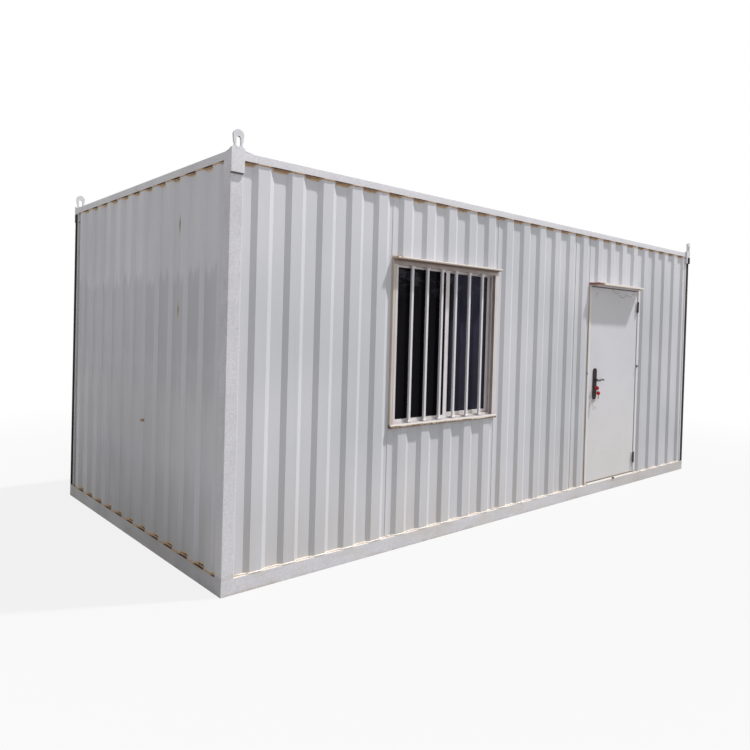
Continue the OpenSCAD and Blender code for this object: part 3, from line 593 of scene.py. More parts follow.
def floor_board_finish(name):
    """Sealed brown floor board with long grain, worn paler along the middle."""
    coat = Coat(name, Specular_IOR_Level=0.35)
    grain = coat.grain(9.0, 6.0, 0.65, (0.1, 1.6, 1))
    fine = coat.grain(60.0, stretch=(0.08, 1.5, 1))
    wear = coat.y.near(0.0, 1.1) * coat.grain(1.3, 4.0, 0.55).band(0.4, 0.65)
    coat.colour = coat.over(grain.band(0.32, 0.7), BOARD_BROWN, BOARD_DARK)
    coat.stain(fine.band(0.5, 0.75, 0.0, 0.5), BOARD_GRAIN)
    coat.stain(wear * 0.45, BOARD_WORN)
    rough = (grain + wear).band(0.4, 1.4, 0.38, 0.66)
    return coat.done(rough, grain + fine, 0.0008, 0.3)


def galvanised_finish(name):
    """Dull spangled zinc with white bloom and a little rust."""
    coat = Coat(name, Metallic=0.85, Specular_IOR_Level=0.5)
    spangle = coat.flakes(55.0)
    cloud = coat.grain(4.0)
    speck = coat.grain(50.0)
    coat.colour = coat.over(0.25, ZINC_BRIGHT, spangle)
    coat.stain(0.55, ZINC_DULL)
    coat.stain(cloud.band(0.5, 0.75, 0.0, 0.6), ZINC_BLOOM)
    rust = speck.band(0.58, 0.7) * cloud.band(0.5, 0.7)
    coat.stain(rust * 0.8, RUST_BROWN)
    rough = (cloud + rust).band(0.3, 1.3, 0.38, 0.75)
    return coat.done(rough, speck + cloud, 0.0006, 0.3)


def window_white_finish(name):
    """White coated window section with dust on its ledges, and painted shade on its left-facing faces and at
    its right end.
    """
    coat = Coat(name, Specular_IOR_Level=0.45)
    cloud = coat.grain(6.0)
    speck = coat.grain(80.0, 3.0, 0.6)
    coat.colour = coat.over(cloud.band(0.4, 0.75), WINDOW_WHITE, WINDOW_GREY)
    ledge = coat.face_z.band(0.5, 0.9) * speck.band(0.35, 0.6, 0.3, 0.9)
    coat.stain(ledge, DUST_AND_REFLECTION_TAN)
    # painted shade: the left-facing faces of the window sections
    reveal = coat.face_x.band(-0.5, -0.9) * cloud.band(0.3, 0.65, 0.2, 0.6)
    coat.stain(reveal, WINDOW_SHADE_BROWN)
    far_side = coat.x.band(GLASS_HIGH.x - 0.03, GLASS_HIGH.x + 0.01, 0.0, 0.5)
    coat.stain(far_side, WINDOW_SHADE)
    rough = cloud.band(0.3, 0.8, 0.3, 0.5)
    return coat.done(rough, speck, 0.0006, 0.25)


def glass_finish(name):
    """Dark float glass: black on the left, bluish on the right, a pale wavering painted reflection near the
    head.
    """
    coat = Coat(name, Specular_IOR_Level=0.025, Transmission_Weight=0.05, IOR=1.45)
    film = coat.grain(3.0, stretch=(1, 1, 0.4))
    waver = coat.grain(9.0, 3.0, 0.6, (0.8, 1, 2))
    middle = (GLASS_LOW.x + GLASS_HIGH.x) / 2
    right = coat.x.band(middle + 0.05, middle + 0.12)
    high = coat.z.band(GLASS_HIGH.z - 0.24, GLASS_HIGH.z - 0.04)
    # painted reflection: pale wavering marks near the head
    painted_reflection = high * waver.band(0.5, 0.62, 0.0, 0.5)
    coat.colour = coat.over(film.band(0.4, 0.8), GLASS_BLACK, GLASS_DARK)
    # a bluish tone over the right pane
    right_pane_blue = coat.over(film.band(0.3, 0.7), GLASS_BLUE, GLASS_PALE)
    coat.stain(right * 0.8, right_pane_blue)
    coat.stain(painted_reflection, GLASS_REFLECTION)
    rough = film.band(0.3, 0.8, 0.05, 0.16)
    return coat.done(rough, coat.grain(2.0, 1.0, 0.55), 0.0006, 0.1)


def hinge_finish(name):
    """Greased dark hinge barrels on flaps that were painted over with the door."""
    coat = Coat(name)
    cloud = coat.grain(40.0)
    speck = coat.grain(220.0)
    steel = coat.over(cloud.band(0.4, 0.65), HINGE_DARK, HINGE_BROWN)
    steel = coat.over(speck.band(0.55, 0.7, 0.0, 0.6), steel, RUST_BROWN)
    barrel_low, barrel_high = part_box("hinge_posts")
    radius = (barrel_high.y - barrel_low.y - HINGE_STAND_OFF) / 2
    away = abs(coat.x - (barrel_low.x + radius))
    barrel = (away.band(radius + 0.003, radius + 0.001)
              * coat.y.band(barrel_low.y + 2.4 * radius, barrel_low.y + 2.2 * radius))
    coat.colour = coat.over(barrel, DOOR_WHITE, steel)
    rough = cloud.band(0.3, 0.75, 0.4, 0.7)
    return coat.done(rough, speck, 0.0005, 0.4)


def lock_finish(name):
    """Black lock plate, worn brown along its rim."""
    coat = Coat(name, Specular_IOR_Level=0.15)
    cloud = coat.grain(30.0)
    speck = coat.grain(160.0, 4.0, 0.65)
    half = (LOCK_HIGH.x - LOCK_LOW.x) / 2
    rim = abs(coat.x - LOCK_X).band(half - 0.008, half)
    coat.colour = coat.over(cloud.band(0.4, 0.7), LOCK_BLACK, LOCK_BROWN)
    wear = rim * speck.band(0.45, 0.65)
    coat.stain(wear * 0.6, LOCK_WORN)
    rough = cloud.band(0.3, 0.75, 0.4, 0.6)
    return coat.done(rough, speck, 0.0004, 0.35)


def lever_finish(name):
    """Plated lever steel, brushed along its arm and dulled by hands."""
    coat = Coat(name, Metallic=1.0, Specular_IOR_Level=0.5)
    brush = coat.grain(300.0, 3.0, 0.6, (0.06, 1, 1))
    smudge = coat.grain(38.0)
    coat.colour = coat.over(smudge.band(0.4, 0.7), LEVER_BRIGHT, LEVER_DULL)
    coat.stain(brush.band(0.5, 0.8, 0.0, 0.4), LEVER_DARK)
    rough = smudge.band(0.3, 0.75, 0.24, 0.46)
    return coat.done(rough, brush, 0.0003, 0.3)


def key_finish(name):
    """Red moulded key heads; the blades and the ring are bare steel."""
    coat = Coat(name, Specular_IOR_Level=0.5)
    speck = coat.grain(400.0, 3.0, 0.6)
    scratch = coat.grain(120.0, 4.0, 0.7, (1, 1, 0.2))
    steel = coat.over(scratch.band(0.4, 0.7), KEY_STEEL, KEY_DARK)
    red = coat.over(scratch.band(0.45, 0.75), KEY_RED, KEY_DEEP_RED)
    key_low, key_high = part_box("door_keys")
    lower_head = coat.z.band(key_low.z + 0.033, key_low.z + 0.036)
    blade_side = coat.y.band(key_high.y - 0.005, key_high.y - 0.003)
    ring = abs(coat.x - (LOCK_X + 0.002)).band(0.0045, 0.005)
    coat.colour = coat.over(lower_head, steel, red)
    coat.stain(blade_side.most(ring), steel)
    return coat.done(scratch.band(0.3, 0.75, 0.22, 0.5), speck, 0.0003, 0.3)


def weld_finish(name, base, rusted):
    """Rough weld run: thin paint broken by tan and brown rust."""
    coat = Coat(name, Specular_IOR_Level=0.15)
    lump = coat.grain(55.0, 4.0, 0.65)
    fine = coat.grain(240.0, 3.0, 0.6)
    coat.colour = coat.over(fine.band(0.4, 0.7, 0.0, 0.5), base, CREAM_STAIN)
    rust = coat.over(fine.band(0.38, 0.62), RUST_TAN, RUST_BROWN)
    coat.stain(lump.band(0.46, 0.6) * rusted, rust)
    coat.stain(lump.band(0.6, 0.7) * rusted, RUST_AND_SHADE_DARK)
    return coat.done(lump.band(0.3, 0.7, 0.6, 0.9), lump + fine * 0.4, 0.0015, 0.6)


def seal_finish(name):
    """Black window seal, dusty on its outer lip."""
    coat = Coat(name, Specular_IOR_Level=0.2)
    dust = coat.grain(60.0)
    coat.colour = coat.over(dust.band(0.5, 0.75, 0.0, 0.5), SEAL_BLACK, SEAL_DUST)
    return coat.done(dust.band(0.3, 0.7, 0.55, 0.8), dust, 0.0004, 0.3)


def fitting_finish(name):
    """Small dark steel fittings with rust in their corners."""
    coat = Coat(name)
    cloud = coat.grain(90.0)
    coat.colour = coat.over(cloud.band(0.42, 0.66), FITTING_DARK, FITTING_RUST)
    return coat.done(cloud.band(0.3, 0.7, 0.4, 0.7), cloud, 0.0005, 0.4)


# Dust films, painted reflection and shade, and rust streaks of the walls
SIDE_FILM = 0.09
# strength of the painted reflection and shade on the end walls
END_PAINTED_SHADE = 0.28
END_FOOT_SHADE = 0.016
STREAK_Y = FRONT_Y + 0.687
FOOT_STREAK_Y = FRONT_Y + 1.895
SCRATCH_Y = FRONT_Y + 1.289
LEFT_END_RUST = (
    (STREAK_Y, 0.022, 2.15, 2.34, 1.0),
    (STREAK_Y, 0.022, 1.59, 1.79, 1.0),
    (STREAK_Y, 0.008, 1.65, 2.45, 0.5),
    (FOOT_STREAK_Y, 0.05, 0.02, 0.30, 0.9),
    (SCRATCH_Y, 0.05, 0.865, 0.905, 1.0),
)
RIGHT_END_RUST = ((0.6, 0.016, 1.9, 2.4, 0.8), (-0.4, 0.04, 0.02, 0.28, 0.8))
finishes = {
    "frame": frame_finish("frame_white_paint"),
    "front": sheet_finish("front_wall_paint", "front_sheet_left", "y", 1.0, FOOT_CREAM, SIDE_FILM),
    "back": sheet_finish("back_wall_paint", "back_sheet", "y", -1.0, FOOT_CREAM, SIDE_FILM),
    "left": sheet_finish("left_wall_paint", "left_end_sheet", "x", 1.0, RUST_PALE, END_PAINTED_SHADE, END_FOOT_SHADE,
                         LEFT_END_RUST),
    "right": sheet_finish("right_wall_paint", "right_end_sheet", "x", -1.0, RUST_PALE, END_PAINTED_SHADE, END_FOOT_SHADE,
                          RIGHT_END_RUST),
    "roof": roof_finish("roof_weathered_paint"),
    "surround": window_surround_finish("window_surround_cream"),
    "bars": bar_finish("bar_white_paint"),
    "door_frame": door_frame_finish("door_frame_cream"),
    "door": door_finish("door_white_paint"),
    "lining": lining_finish("inner_lining"),
    "floor": floor_board_finish("sealed_floor_board"),
    "galvanised": galvanised_finish("galvanised_steel"),
    "window": window_white_finish("window_white_coating"),
    "glass": glass_finish("window_dark_glass"),
    "hinge": hinge_finish("hinge_dark_steel"),
    "weld": weld_finish("weld_painted_over", FOOT_CREAM, 0.32),
    "rust": weld_finish("weld_rusted", RUST_TAN, 0.6),
    "pale_rust": weld_finish("weld_pale_rust", RUST_PALE, 0.45),
    "old_rust": weld_finish("flaking_rust", OLD_RUST, 1.0),
    "seal": seal_finish("window_black_seal"),
    "fitting": fitting_finish("fitting_dark_steel"),
    "lock": lock_finish("lock_black_paint"),
    "lever": lever_finish("lever_plated_steel"),
    "key": key_finish("key_red_plastic"),
}
WORN_BY = {
    "frame": ["front_bottom_rail", "back_bottom_rail", "end_bottom_rails", "corner_posts", "front_top_rail",
              "back_top_rail", "end_top_rails", "lifting_lugs"],
    "front": ["front_sheet_left", "front_sheet_over_window", "front_sheet_under_window",
              "front_sheet_middle", "front_sheet_over_door", "front_sheet_right"],
    "back": ["back_sheet"],
    "left": ["left_end_sheet"],
    "right": ["right_end_sheet"],
    "roof": ["roof_sheet"],
    "surround": ["window_head", "window_sill", "window_jambs"],
    "bars": ["security_bars"],
    "door_frame": ["door_hood", "door_head", "door_jambs", "door_threshold"],
    "door": ["door_leaf"],
    "lining": ["ceiling_panel", "front_wall_panels", "front_wall_infills", "back_wall_panel",
               "left_wall_panel", "right_wall_panel"],
    "floor": ["floor_board"],
    "galvanised": ["floor_joists", "roof_bearers"],
    "window": ["window_frame", "window_sashes"],
    "glass": ["window_glass"],
    "hinge": ["hinge_posts", "hinge_barrels"],
    "lock": ["lock_plates"],
    "lever": ["lock_cylinder", "door_lever"],
    "key": ["door_keys"],
}
for finish_name, worn in WORN_BY.items():
    for node_name in worn:
        mesh = nodes[node_name].data
        mesh.materials.clear()
        mesh.materials.append(finishes[finish_name])


# Folded steel has no knife edges: the CAD pieces get a small round on their corners
EDGE_ROUND = {"frame": 0.0025, "surround": 0.0020, "door_frame": 0.0020, "lock": 0.0020, "lever": 0.0020,
              "window": 0.0012, "door": 0.0012, "hinge": 0.0012, "key": 0.0006}
OWN_ROUND = {"corner_posts": None, "lock_cylinder": 0.0006}
EDGE_ANGLE = math.radians(38.0)
JOIN_WITHIN = 0.00002


def round_edges(node_name, width):
    node = nodes[node_name]
    node.data.shade_smooth()
    weld = node.modifiers.new("joined_corners", "WELD")
    weld.merge_threshold = JOIN_WITHIN
    edge = node.modifiers.new("rounded_edges", "BEVEL")
    edge.width = width
    edge.segments = 2
    edge.limit_method = "ANGLE"
    edge.angle_limit = EDGE_ANGLE
    edge.harden_normals = True
    node.modifiers.new("flat_faces", "WEIGHTED_NORMAL")


for finish_name, finish_round in EDGE_ROUND.items():
    for node_name in WORN_BY[finish_name]:
        piece_round = OWN_ROUND.get(node_name, finish_round)
        if piece_round:
            round_edges(node_name, piece_round)


def clear_selection():
    bpy.ops.object.select_all(action="DESELECT")


def pick(piece):
    clear_selection()
    piece.select_set(True)
    bpy.context.view_layer.objects.active = piece


def edit_all(piece):
    pick(piece)
    bpy.ops.object.mode_set(mode="EDIT")
    bpy.ops.mesh.select_all(action="SELECT")


def keep(piece, name, finish, body="shell"):
    """Puts place and turn into the mesh, then names, coats and ties the piece to its body."""
    if piece.mode == "EDIT":
        bpy.ops.mesh.select_all(action="SELECT")
        bpy.ops.mesh.normals_make_consistent(inside=False)
        bpy.ops.object.mode_set(mode="OBJECT")
    bpy.ops.object.transform_apply(location=True, rotation=True, scale=True)
    piece.name = name
    piece.data.name = name
    piece.data.materials.clear()
    piece.data.materials.append(finishes[finish])
    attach(piece, body)
    return piece


def rounded_block(low, high, width, segments=2):
    """A block between two corners with rounded edges, left in edit mode with all of it selected."""
    low, high = Vector(low), Vector(high)
    clear_selection()
    bpy.ops.mesh.primitive_cube_add(size=1.0, location=(low + high) / 2, scale=high - low)
    piece = bpy.context.object
    bpy.ops.object.transform_apply(location=False, rotation=False, scale=True)
    edit_all(piece)
    bpy.ops.mesh.bevel(offset=width, segments=segments, affect="EDGES")
    bpy.ops.mesh.select_all(action="SELECT")
    return piece


def copy_to(piece, name, shift, finish, body="shell"):
    """A copy with a mesh of its own, moved by shift."""
    pick(piece)
    bpy.ops.object.duplicate()
    copy = bpy.context.object
    bpy.ops.transform.translate(value=shift)
    return keep(copy, name, finish, body)


# Weld runs along the head and foot of every wall sheet
BEAD_STEP = 0.045
BEAD_SWELL = (1.25, 0.84, 1.1, 0.92, 0.8, 1.18)
BEAD_SINK = 0.4
FOOT_BEAD = 0.0044
HEAD_BEAD = 0.0042
FOOT_LEVEL = SHEET_BOTTOM + FOOT_BEAD * 0.6
HEAD_LEVEL = SHEET_TOP - HEAD_BEAD * 0.6


def weld_run(name, node_name, axis, inward, level, thick, finish):
    """A small hexagon drawn on along the folds of a sheet, swelling and thinning as it goes."""
    folds = fold_line(node_name, axis, inward)
    stops = []
    for (start, deep), (end, deeper) in zip(folds, folds[1:]):
        count = max(1, round((end - start) / BEAD_STEP))
        stops += [(start + (end - start) * k / count, deep + (deeper - deep) * k / count)
                  for k in range(count)]
    stops.append(folds[-1])
    flush = [(place, (depth - thick * BEAD_SINK) * inward) for place, depth in stops]
    if axis == "y":
        points = [Vector((place, across, level)) for place, across in flush]
        turn = (0.0, math.pi / 2, 0.0)
    else:
        points = [Vector((across, place, level)) for place, across in flush]
        turn = (math.pi / 2, 0.0, 0.0)
    clear_selection()
    bpy.ops.mesh.primitive_circle_add(vertices=6, radius=thick, fill_type="NGON", location=points[0],
                                      rotation=turn)
    run = bpy.context.object
    edit_all(run)
    for k, (here, there) in enumerate(zip(points, points[1:])):
        bpy.ops.mesh.extrude_region_move(TRANSFORM_OT_translate={"value": there - here})
        swell = BEAD_SWELL[k % len(BEAD_SWELL)]
        bpy.ops.transform.resize(value=(swell, swell, swell))
    keep(run, name, finish)
    pick(run)
    bpy.ops.object.shade_smooth()


FRONT_FOOT = ("front_sheet_left", "front_sheet_under_window", "front_sheet_middle", "front_sheet_right")
FRONT_HEAD = ("front_sheet_left", "front_sheet_over_window", "front_sheet_middle", "front_sheet_over_door",
              "front_sheet_right")
for sheet in FRONT_FOOT:
    weld_run("foot_weld_" + sheet, sheet, "y", 1.0, FOOT_LEVEL, FOOT_BEAD, "weld")
for sheet in FRONT_HEAD:
    weld_run("head_weld_" + sheet, sheet, "y", 1.0, HEAD_LEVEL, HEAD_BEAD, "rust")
for sheet, sheet_axis, sheet_inward in (("back_sheet", "y", -1.0), ("left_end_sheet", "x", 1.0),
                                        ("right_end_sheet", "x", -1.0)):
    weld_run("foot_weld_" + sheet, sheet, sheet_axis, sheet_inward, FOOT_LEVEL, FOOT_BEAD, "pale_rust")
    weld_run("head_weld_" + sheet, sheet, sheet_axis, sheet_inward, HEAD_LEVEL, HEAD_BEAD, "pale_rust")


# Laps where two front sheets meet in a trough, the right one over the left
LAP_WIDTH = 0.040
LAP_STEP = 0.0028
LAP_ROUND = 0.0007
LAP_SINK = 0.0008
LAP_CLEAR = 0.008
LAP_PAST_JOINT = 0.006
LAP_TO_DOOR = 0.247
TROUGH_Y = max(depth for place, depth in fold_line("front_sheet_left", "y", 1.0))


def lap(name, place, low, high):
    """A sheet edge: a thin plate turned a little, its left edge proud and its right one sunk in."""
    low, high = low + LAP_CLEAR, high - LAP_CLEAR
    edge = Vector((place, TROUGH_Y - LAP_STEP, low))
    plate = rounded_block(edge, edge + Vector((LAP_WIDTH, LAP_STEP, high - low)), LAP_ROUND)
    bpy.ops.transform.rotate(value=-math.atan2(LAP_STEP, LAP_WIDTH), orient_axis="Z", center_override=edge)
    bpy.ops.mesh.bisect(plane_co=(place, TROUGH_Y + LAP_SINK, low), plane_no=(0.0, 1.0, 0.0), use_fill=True,
                        clear_outer=True)
    keep(plate, name, "front")


for side, joint in (("left", SHEET_HIGH.x), ("right", JAMB_HIGH.x)):
    lap("lap_over_window_" + side, joint - LAP_PAST_JOINT, HEAD_HIGH.z, SHEET_TOP)
    lap("lap_under_window_" + side, joint - LAP_PAST_JOINT, SHEET_BOTTOM, SILL_LOW.z)
lap("lap_beside_door", DOOR_LOW.x - LAP_TO_DOOR, SHEET_BOTTOM, SHEET_TOP)


# Plates that close the open ends of the window head and sill, below their top sheets
CAP_ROOM = Vector((0.0, 0.0028, 0.0028))
CAP_THICK = 0.004
CAP_INSET = 0.0008
CAP_ROUND = 0.0012
COVER_ROOM = Vector((0.0, 0.0, 0.005))


def end_caps(name, low, high):
    low, high = low + CAP_ROOM, high - CAP_ROOM - COVER_ROOM
    cap = rounded_block((low.x + CAP_INSET, low.y, low.z), (low.x + CAP_THICK, high.y, high.z), CAP_ROUND)
    keep(cap, name + "_left", "surround")
    across = high.x - low.x - CAP_THICK - CAP_INSET
    copy_to(cap, name + "_right", (across, 0.0, 0.0), "surround")


end_caps("window_head_cap", Vector((JAMB_LOW.x, JAMB_LOW.y, JAMB_HIGH.z)),
         Vector((JAMB_HIGH.x, JAMB_HIGH.y, HEAD_HIGH.z)))
end_caps("window_sill_cap", SILL_LOW, SILL_HIGH)


# Weld feet where the security bars meet the sill and the head
BAR_COUNT = 6
BAR_SIDE = BARS_HIGH.y - BARS_LOW.y
BAR_GAP = (BARS_HIGH.x - BARS_LOW.x - BAR_SIDE) / (BAR_COUNT - 1)
BAR_FOOT_HALF = Vector((0.018, 0.01512, 0.0))
BAR_FOOT_RISE = Vector((0.0, 0.0, 0.016))
BAR_FOOT_ROUND = 0.003
BAR_FOOT_LUMPS = 0.0016


def bar_feet():
    middle = Vector((BARS_LOW.x + BAR_SIDE / 2, (BARS_LOW.y + BARS_HIGH.y) / 2, BARS_LOW.z))
    foot = rounded_block(middle - BAR_FOOT_HALF, middle + BAR_FOOT_HALF + BAR_FOOT_RISE, BAR_FOOT_ROUND)
    bpy.ops.mesh.subdivide(number_cuts=1)
    bpy.ops.transform.vertex_random(offset=BAR_FOOT_LUMPS, uniform=0.3, seed=3)
    keep(foot, "bar_foot_1", "bars")
    to_head = (0.0, 0.0, BARS_HIGH.z - BARS_LOW.z - BAR_FOOT_RISE.z)
    cap = copy_to(foot, "bar_cap_1", to_head, "bars")
    for k in range(1, BAR_COUNT):
        shift = (k * BAR_GAP, 0.0, 0.0)
        copy_to(foot, "bar_foot_%d" % (k + 1), shift, "bars")
        copy_to(cap, "bar_cap_%d" % (k + 1), shift, "bars")


bar_feet()


# Rust on the window hood
LUMP_FROM_CORNER = Vector((0.030, 0.010, 0.001))
LUMP_RADII = (0.030, 0.009, 0.005)
LUMP_FLAKES = 0.002


def hood_rust_lump():
    """Flaking rust on the front left corner of the window hood."""
    clear_selection()
    spot = Vector((HEAD_LOW.x, HEAD_LOW.y, HEAD_HIGH.z)) + LUMP_FROM_CORNER
    bpy.ops.mesh.primitive_ico_sphere_add(subdivisions=3, radius=1.0, location=spot)
    lump = bpy.context.object
    edit_all(lump)
    bpy.ops.transform.resize(value=LUMP_RADII)
    bpy.ops.transform.vertex_random(offset=LUMP_FLAKES, uniform=0.2, seed=7)
    keep(lump, "window_hood_rust", "old_rust")


hood_rust_lump()


# Seals round the two panes
SEAL_WIDTH = 0.006
SEAL_THICK = 0.003
SEAL_ROUND = 0.0008
PANE_DEPTH = 0.006
SAME_FACE = 0.0005


def window_seal(name, low_x, high_x, front_y):
    """A thin lip round one pane: a plate inset and opened, then drawn out to its thickness."""
    low_z, high_z = GLASS_LOW.z, GLASS_HIGH.z
    clear_selection()
    bpy.ops.mesh.primitive_plane_add(size=1.0, rotation=(math.pi / 2, 0.0, 0.0),
                                     location=((low_x + high_x) / 2, front_y, (low_z + high_z) / 2))
    seal = bpy.context.object
    edit_all(seal)
    bpy.ops.transform.resize(value=(high_x - low_x, 1.0, high_z - low_z))
    bpy.ops.mesh.inset(thickness=SEAL_WIDTH)
    bpy.ops.mesh.delete(type="FACE")
    bpy.ops.mesh.select_all(action="SELECT")
    bpy.ops.mesh.extrude_region_move(TRANSFORM_OT_translate={"value": (0.0, -SEAL_THICK, 0.0)})
    bpy.ops.mesh.select_all(action="SELECT")
    bpy.ops.mesh.bevel(offset=SEAL_ROUND, segments=2, affect="EDGES")
    keep(seal, name, "seal")


def pane_spans():
    """x range and outer face of each pane, left pane first, from the glass solid."""
    node = nodes["window_glass"]
    spots = [node.matrix_world @ v.co for v in node.data.vertices]
    left_y = min(p.y for p in spots)
    right_y = min(p.y for p in spots if p.x > GLASS_HIGH.x - SAME_FACE)
    left_xs = [p.x for p in spots if p.y < left_y + PANE_DEPTH]
    right_xs = [p.x for p in spots if p.y > right_y - SAME_FACE]
    return (min(left_xs), max(left_xs), left_y), (min(right_xs), max(right_xs), right_y)


for pane_name, (pane_x0, pane_x1, pane_y) in zip(("left_pane_seal", "right_pane_seal"), pane_spans()):
    window_seal(pane_name, pane_x0, pane_x1, pane_y)


# Small fittings round the door
STAPLE_Z = 1.258
STAPLE_FROM_LEAF = 0.008
STAPLE_PLATE = Vector((0.030, 0.004, 0.022))
PLATE_ROUND = 0.0012
STAPLE_AT = Vector((0.010, -0.001, 0.011))
STAPLE_RADIUS = 0.009
STAPLE_WIRE = 0.0028
STAPLE_STRETCH = 1.3
KEEP_FROM_MIDDLE = 0.031
KEEP_AT = Vector((0.0, 0.001, 0.009))
KEEP_RADIUS = 0.011
KEEP_HEIGHT = 0.012
KEEP_OVAL = (1.7, 0.8, 1.0)
KEEP_ROUND = 0.001


def door_fittings():
    """A staple plate on the hinge jamb and the keep of a foot bolt on the threshold."""
    plate_low = Vector((LEAF_HIGH.x + STAPLE_FROM_LEAF, DOOR_LOW.y - STAPLE_PLATE.y, STAPLE_Z))
    plate = rounded_block(plate_low, plate_low + STAPLE_PLATE, PLATE_ROUND)
    keep(plate, "jamb_staple_plate", "fitting")
    clear_selection()
    bpy.ops.mesh.primitive_torus_add(major_radius=STAPLE_RADIUS, minor_radius=STAPLE_WIRE, major_segments=20,
                                     minor_segments=8, location=plate_low + STAPLE_AT)
    staple = bpy.context.object
    edit_all(staple)
    bpy.ops.transform.resize(value=(1.0, STAPLE_STRETCH, 1.0))
    keep(staple, "jamb_staple", "fitting")
    sill_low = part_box("door_threshold")[0]
    middle = (LEAF_LOW.x + LEAF_HIGH.x) / 2 + KEEP_FROM_MIDDLE
    clear_selection()
    bpy.ops.mesh.primitive_cylinder_add(vertices=24, radius=KEEP_RADIUS, depth=KEEP_HEIGHT,
                                        location=Vector((middle, sill_low.y, sill_low.z)) + KEEP_AT)
    socket = bpy.context.object
    edit_all(socket)
    bpy.ops.transform.resize(value=KEEP_OVAL)
    bpy.ops.mesh.bevel(offset=KEEP_ROUND, segments=2, affect="EDGES")
    keep(socket, "threshold_bolt_keep", "fitting")


door_fittings()


def only_camera_like(tree):
    """1 for rays from the camera, for mirror reflections and through glass."""
    path = tree.nodes.new("ShaderNodeLightPath")
    seen = path.outputs["Is Camera Ray"]
    for ray in ("Is Glossy Ray", "Is Transmission Ray"):
        most = tree.nodes.new("ShaderNodeMath")
        most.operation = "MAXIMUM"
        tree.links.new(seen, most.inputs[0])
        tree.links.new(path.outputs[ray], most.inputs[1])
        seen = most.outputs[0]
    return seen


# Studio and camera
FLOOR_SIZE = 120.0
FLOOR_MATT = (0.3, 0.3, 0.3, 1.0)
FLOOR_FADE = (3.5, 9.0)
FLOOR_GLOW = (0.86, 1.0)
SKY_LEVEL = 0.45
FILL_POWER = 200.0
FILL_SIZE = 6.0
FILL_FROM = Vector((1.0, -14.0, 4.0))
FILL_AT = Vector((0.0, -1.0, 1.0))
SUN_LEVEL = 5.3
SUN_TOWARDS = Vector((1.8, -1.0, 4.0))
SUN_SOFTNESS = math.radians(2.0)
SUN_DISTANCE = 3.0


def studio_floor():
    """A pale floor that glows to white away from the house and keeps its shadow."""
    clear_selection()
    bpy.ops.mesh.primitive_plane_add(size=FLOOR_SIZE)
    floor = bpy.context.object
    floor.name = "studio_floor"
    material = bpy.data.materials.new("studio_floor_pale")
    material.use_nodes = True
    tree = material.node_tree
    tree.nodes.remove(tree.nodes["Principled BSDF"])
    coords = tree.nodes.new("ShaderNodeTexCoord")
    length = tree.nodes.new("ShaderNodeVectorMath")
    length.operation = "LENGTH"
    fade = tree.nodes.new("ShaderNodeMapRange")
    fade.interpolation_type = "SMOOTHSTEP"
    for socket, number in zip(fade.inputs[1:5], FLOOR_FADE + FLOOR_GLOW):
        socket.default_value = number
    share = tree.nodes.new("ShaderNodeMath")
    share.operation = "MULTIPLY"
    matt = tree.nodes.new("ShaderNodeBsdfDiffuse")
    matt.inputs["Color"].default_value = FLOOR_MATT
    glow = tree.nodes.new("ShaderNodeEmission")
    mix = tree.nodes.new("ShaderNodeMixShader")
    tree.links.new(coords.outputs["Object"], length.inputs[0])
    tree.links.new(length.outputs["Value"], fade.inputs[0])
    tree.links.new(fade.outputs[0], share.inputs[0])
    tree.links.new(only_camera_like(tree), share.inputs[1])
    tree.links.new(share.outputs[0], mix.inputs[0])
    tree.links.new(matt.outputs[0], mix.inputs[1])
    tree.links.new(glow.outputs[0], mix.inputs[2])
    tree.links.new(mix.outputs[0], tree.nodes["Material Output"].inputs["Surface"])
    floor.data.materials.append(material)


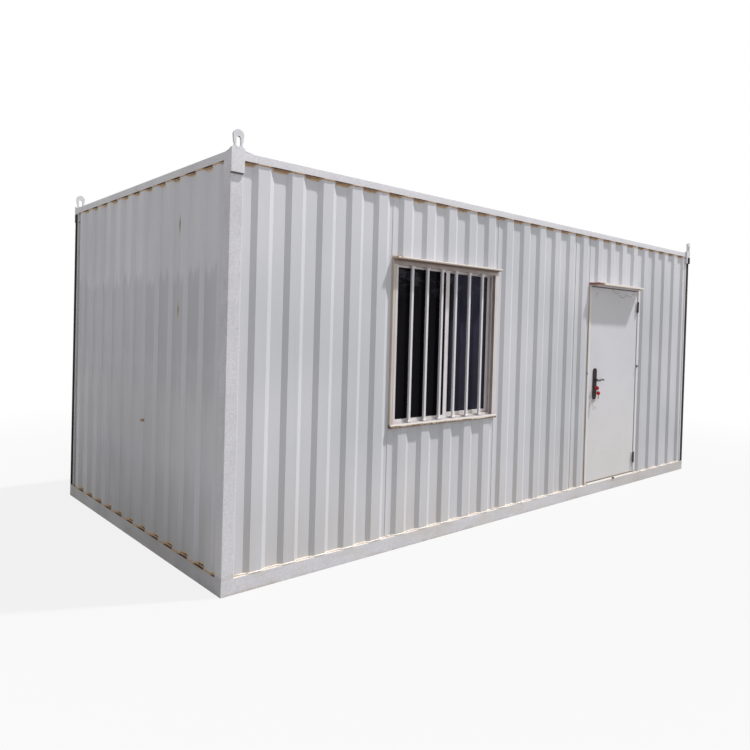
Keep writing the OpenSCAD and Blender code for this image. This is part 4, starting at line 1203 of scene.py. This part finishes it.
def studio_light():
    """White surroundings, a high soft key from the right and a weak fill in front."""
    world = bpy.data.worlds.new("studio_white")
    scene.world = world
    world.use_nodes = True
    tree = world.node_tree
    sky = tree.nodes["Background"]
    sky.inputs["Color"].default_value = (1.0, 1.0, 1.0, 1.0)
    level = tree.nodes.new("ShaderNodeMapRange")
    for socket, number in zip(level.inputs[1:5], (0.0, 1.0, SKY_LEVEL, 1.0)):
        socket.default_value = number
    tree.links.new(only_camera_like(tree), level.inputs[0])
    tree.links.new(level.outputs[0], sky.inputs["Strength"])
    lamp = bpy.data.lights.new("soft_key", "SUN")
    lamp.energy = SUN_LEVEL
    lamp.angle = SUN_SOFTNESS
    key = bpy.data.objects.new("soft_key", lamp)
    key.rotation_euler = SUN_TOWARDS.to_track_quat("Z", "Y").to_euler()
    key.location = SUN_TOWARDS * SUN_DISTANCE
    scene.collection.objects.link(key)
    soft = bpy.data.lights.new("soft_fill", "AREA")
    soft.energy = FILL_POWER
    soft.size = FILL_SIZE
    fill = bpy.data.objects.new("soft_fill", soft)
    fill.rotation_euler = (FILL_FROM - FILL_AT).to_track_quat("Z", "Y").to_euler()
    fill.location = FILL_FROM
    scene.collection.objects.link(fill)


IMAGE_SIDE = 750.0
CAMERA_FOCUS = 649.52
CAMERA_CENTRE = (415.0, 340.0)
CAMERA_YAW, CAMERA_PITCH, CAMERA_ROLL = (math.radians(a) for a in (43.196, -0.936, 1.614))
CAMERA_FROM_CORNER = Vector((-1.7775, -3.4900, 1.6014))


def photo_camera():
    """The photograph's viewpoint, fitted to the corners and ribs of the house."""
    lens = bpy.data.cameras.new("photo_view")
    lens.sensor_width = 36.0
    lens.lens = CAMERA_FOCUS * lens.sensor_width / IMAGE_SIDE
    lens.shift_x = (IMAGE_SIDE / 2 - CAMERA_CENTRE[0]) / IMAGE_SIDE
    lens.shift_y = (CAMERA_CENTRE[1] - IMAGE_SIDE / 2) / IMAGE_SIDE
    camera = bpy.data.objects.new("photo_view", lens)
    ahead = Vector((math.sin(CAMERA_YAW) * math.cos(CAMERA_PITCH),
                    math.cos(CAMERA_YAW) * math.cos(CAMERA_PITCH), math.sin(CAMERA_PITCH)))
    level = Vector((math.cos(CAMERA_YAW), -math.sin(CAMERA_YAW), 0.0))
    above = level.cross(ahead)
    right = level * math.cos(CAMERA_ROLL) + above * math.sin(CAMERA_ROLL)
    up = above * math.cos(CAMERA_ROLL) - level * math.sin(CAMERA_ROLL)
    turn = Matrix((right, up, -ahead)).transposed().to_4x4()
    camera.matrix_world = Matrix.Translation(Vector((LEFT_X, FRONT_Y, 0.0)) + CAMERA_FROM_CORNER) @ turn
    scene.collection.objects.link(camera)
    scene.camera = camera


studio_floor()
studio_light()
photo_camera()
scene.view_settings.view_transform = "Standard"

bpy.context.view_layer.update()
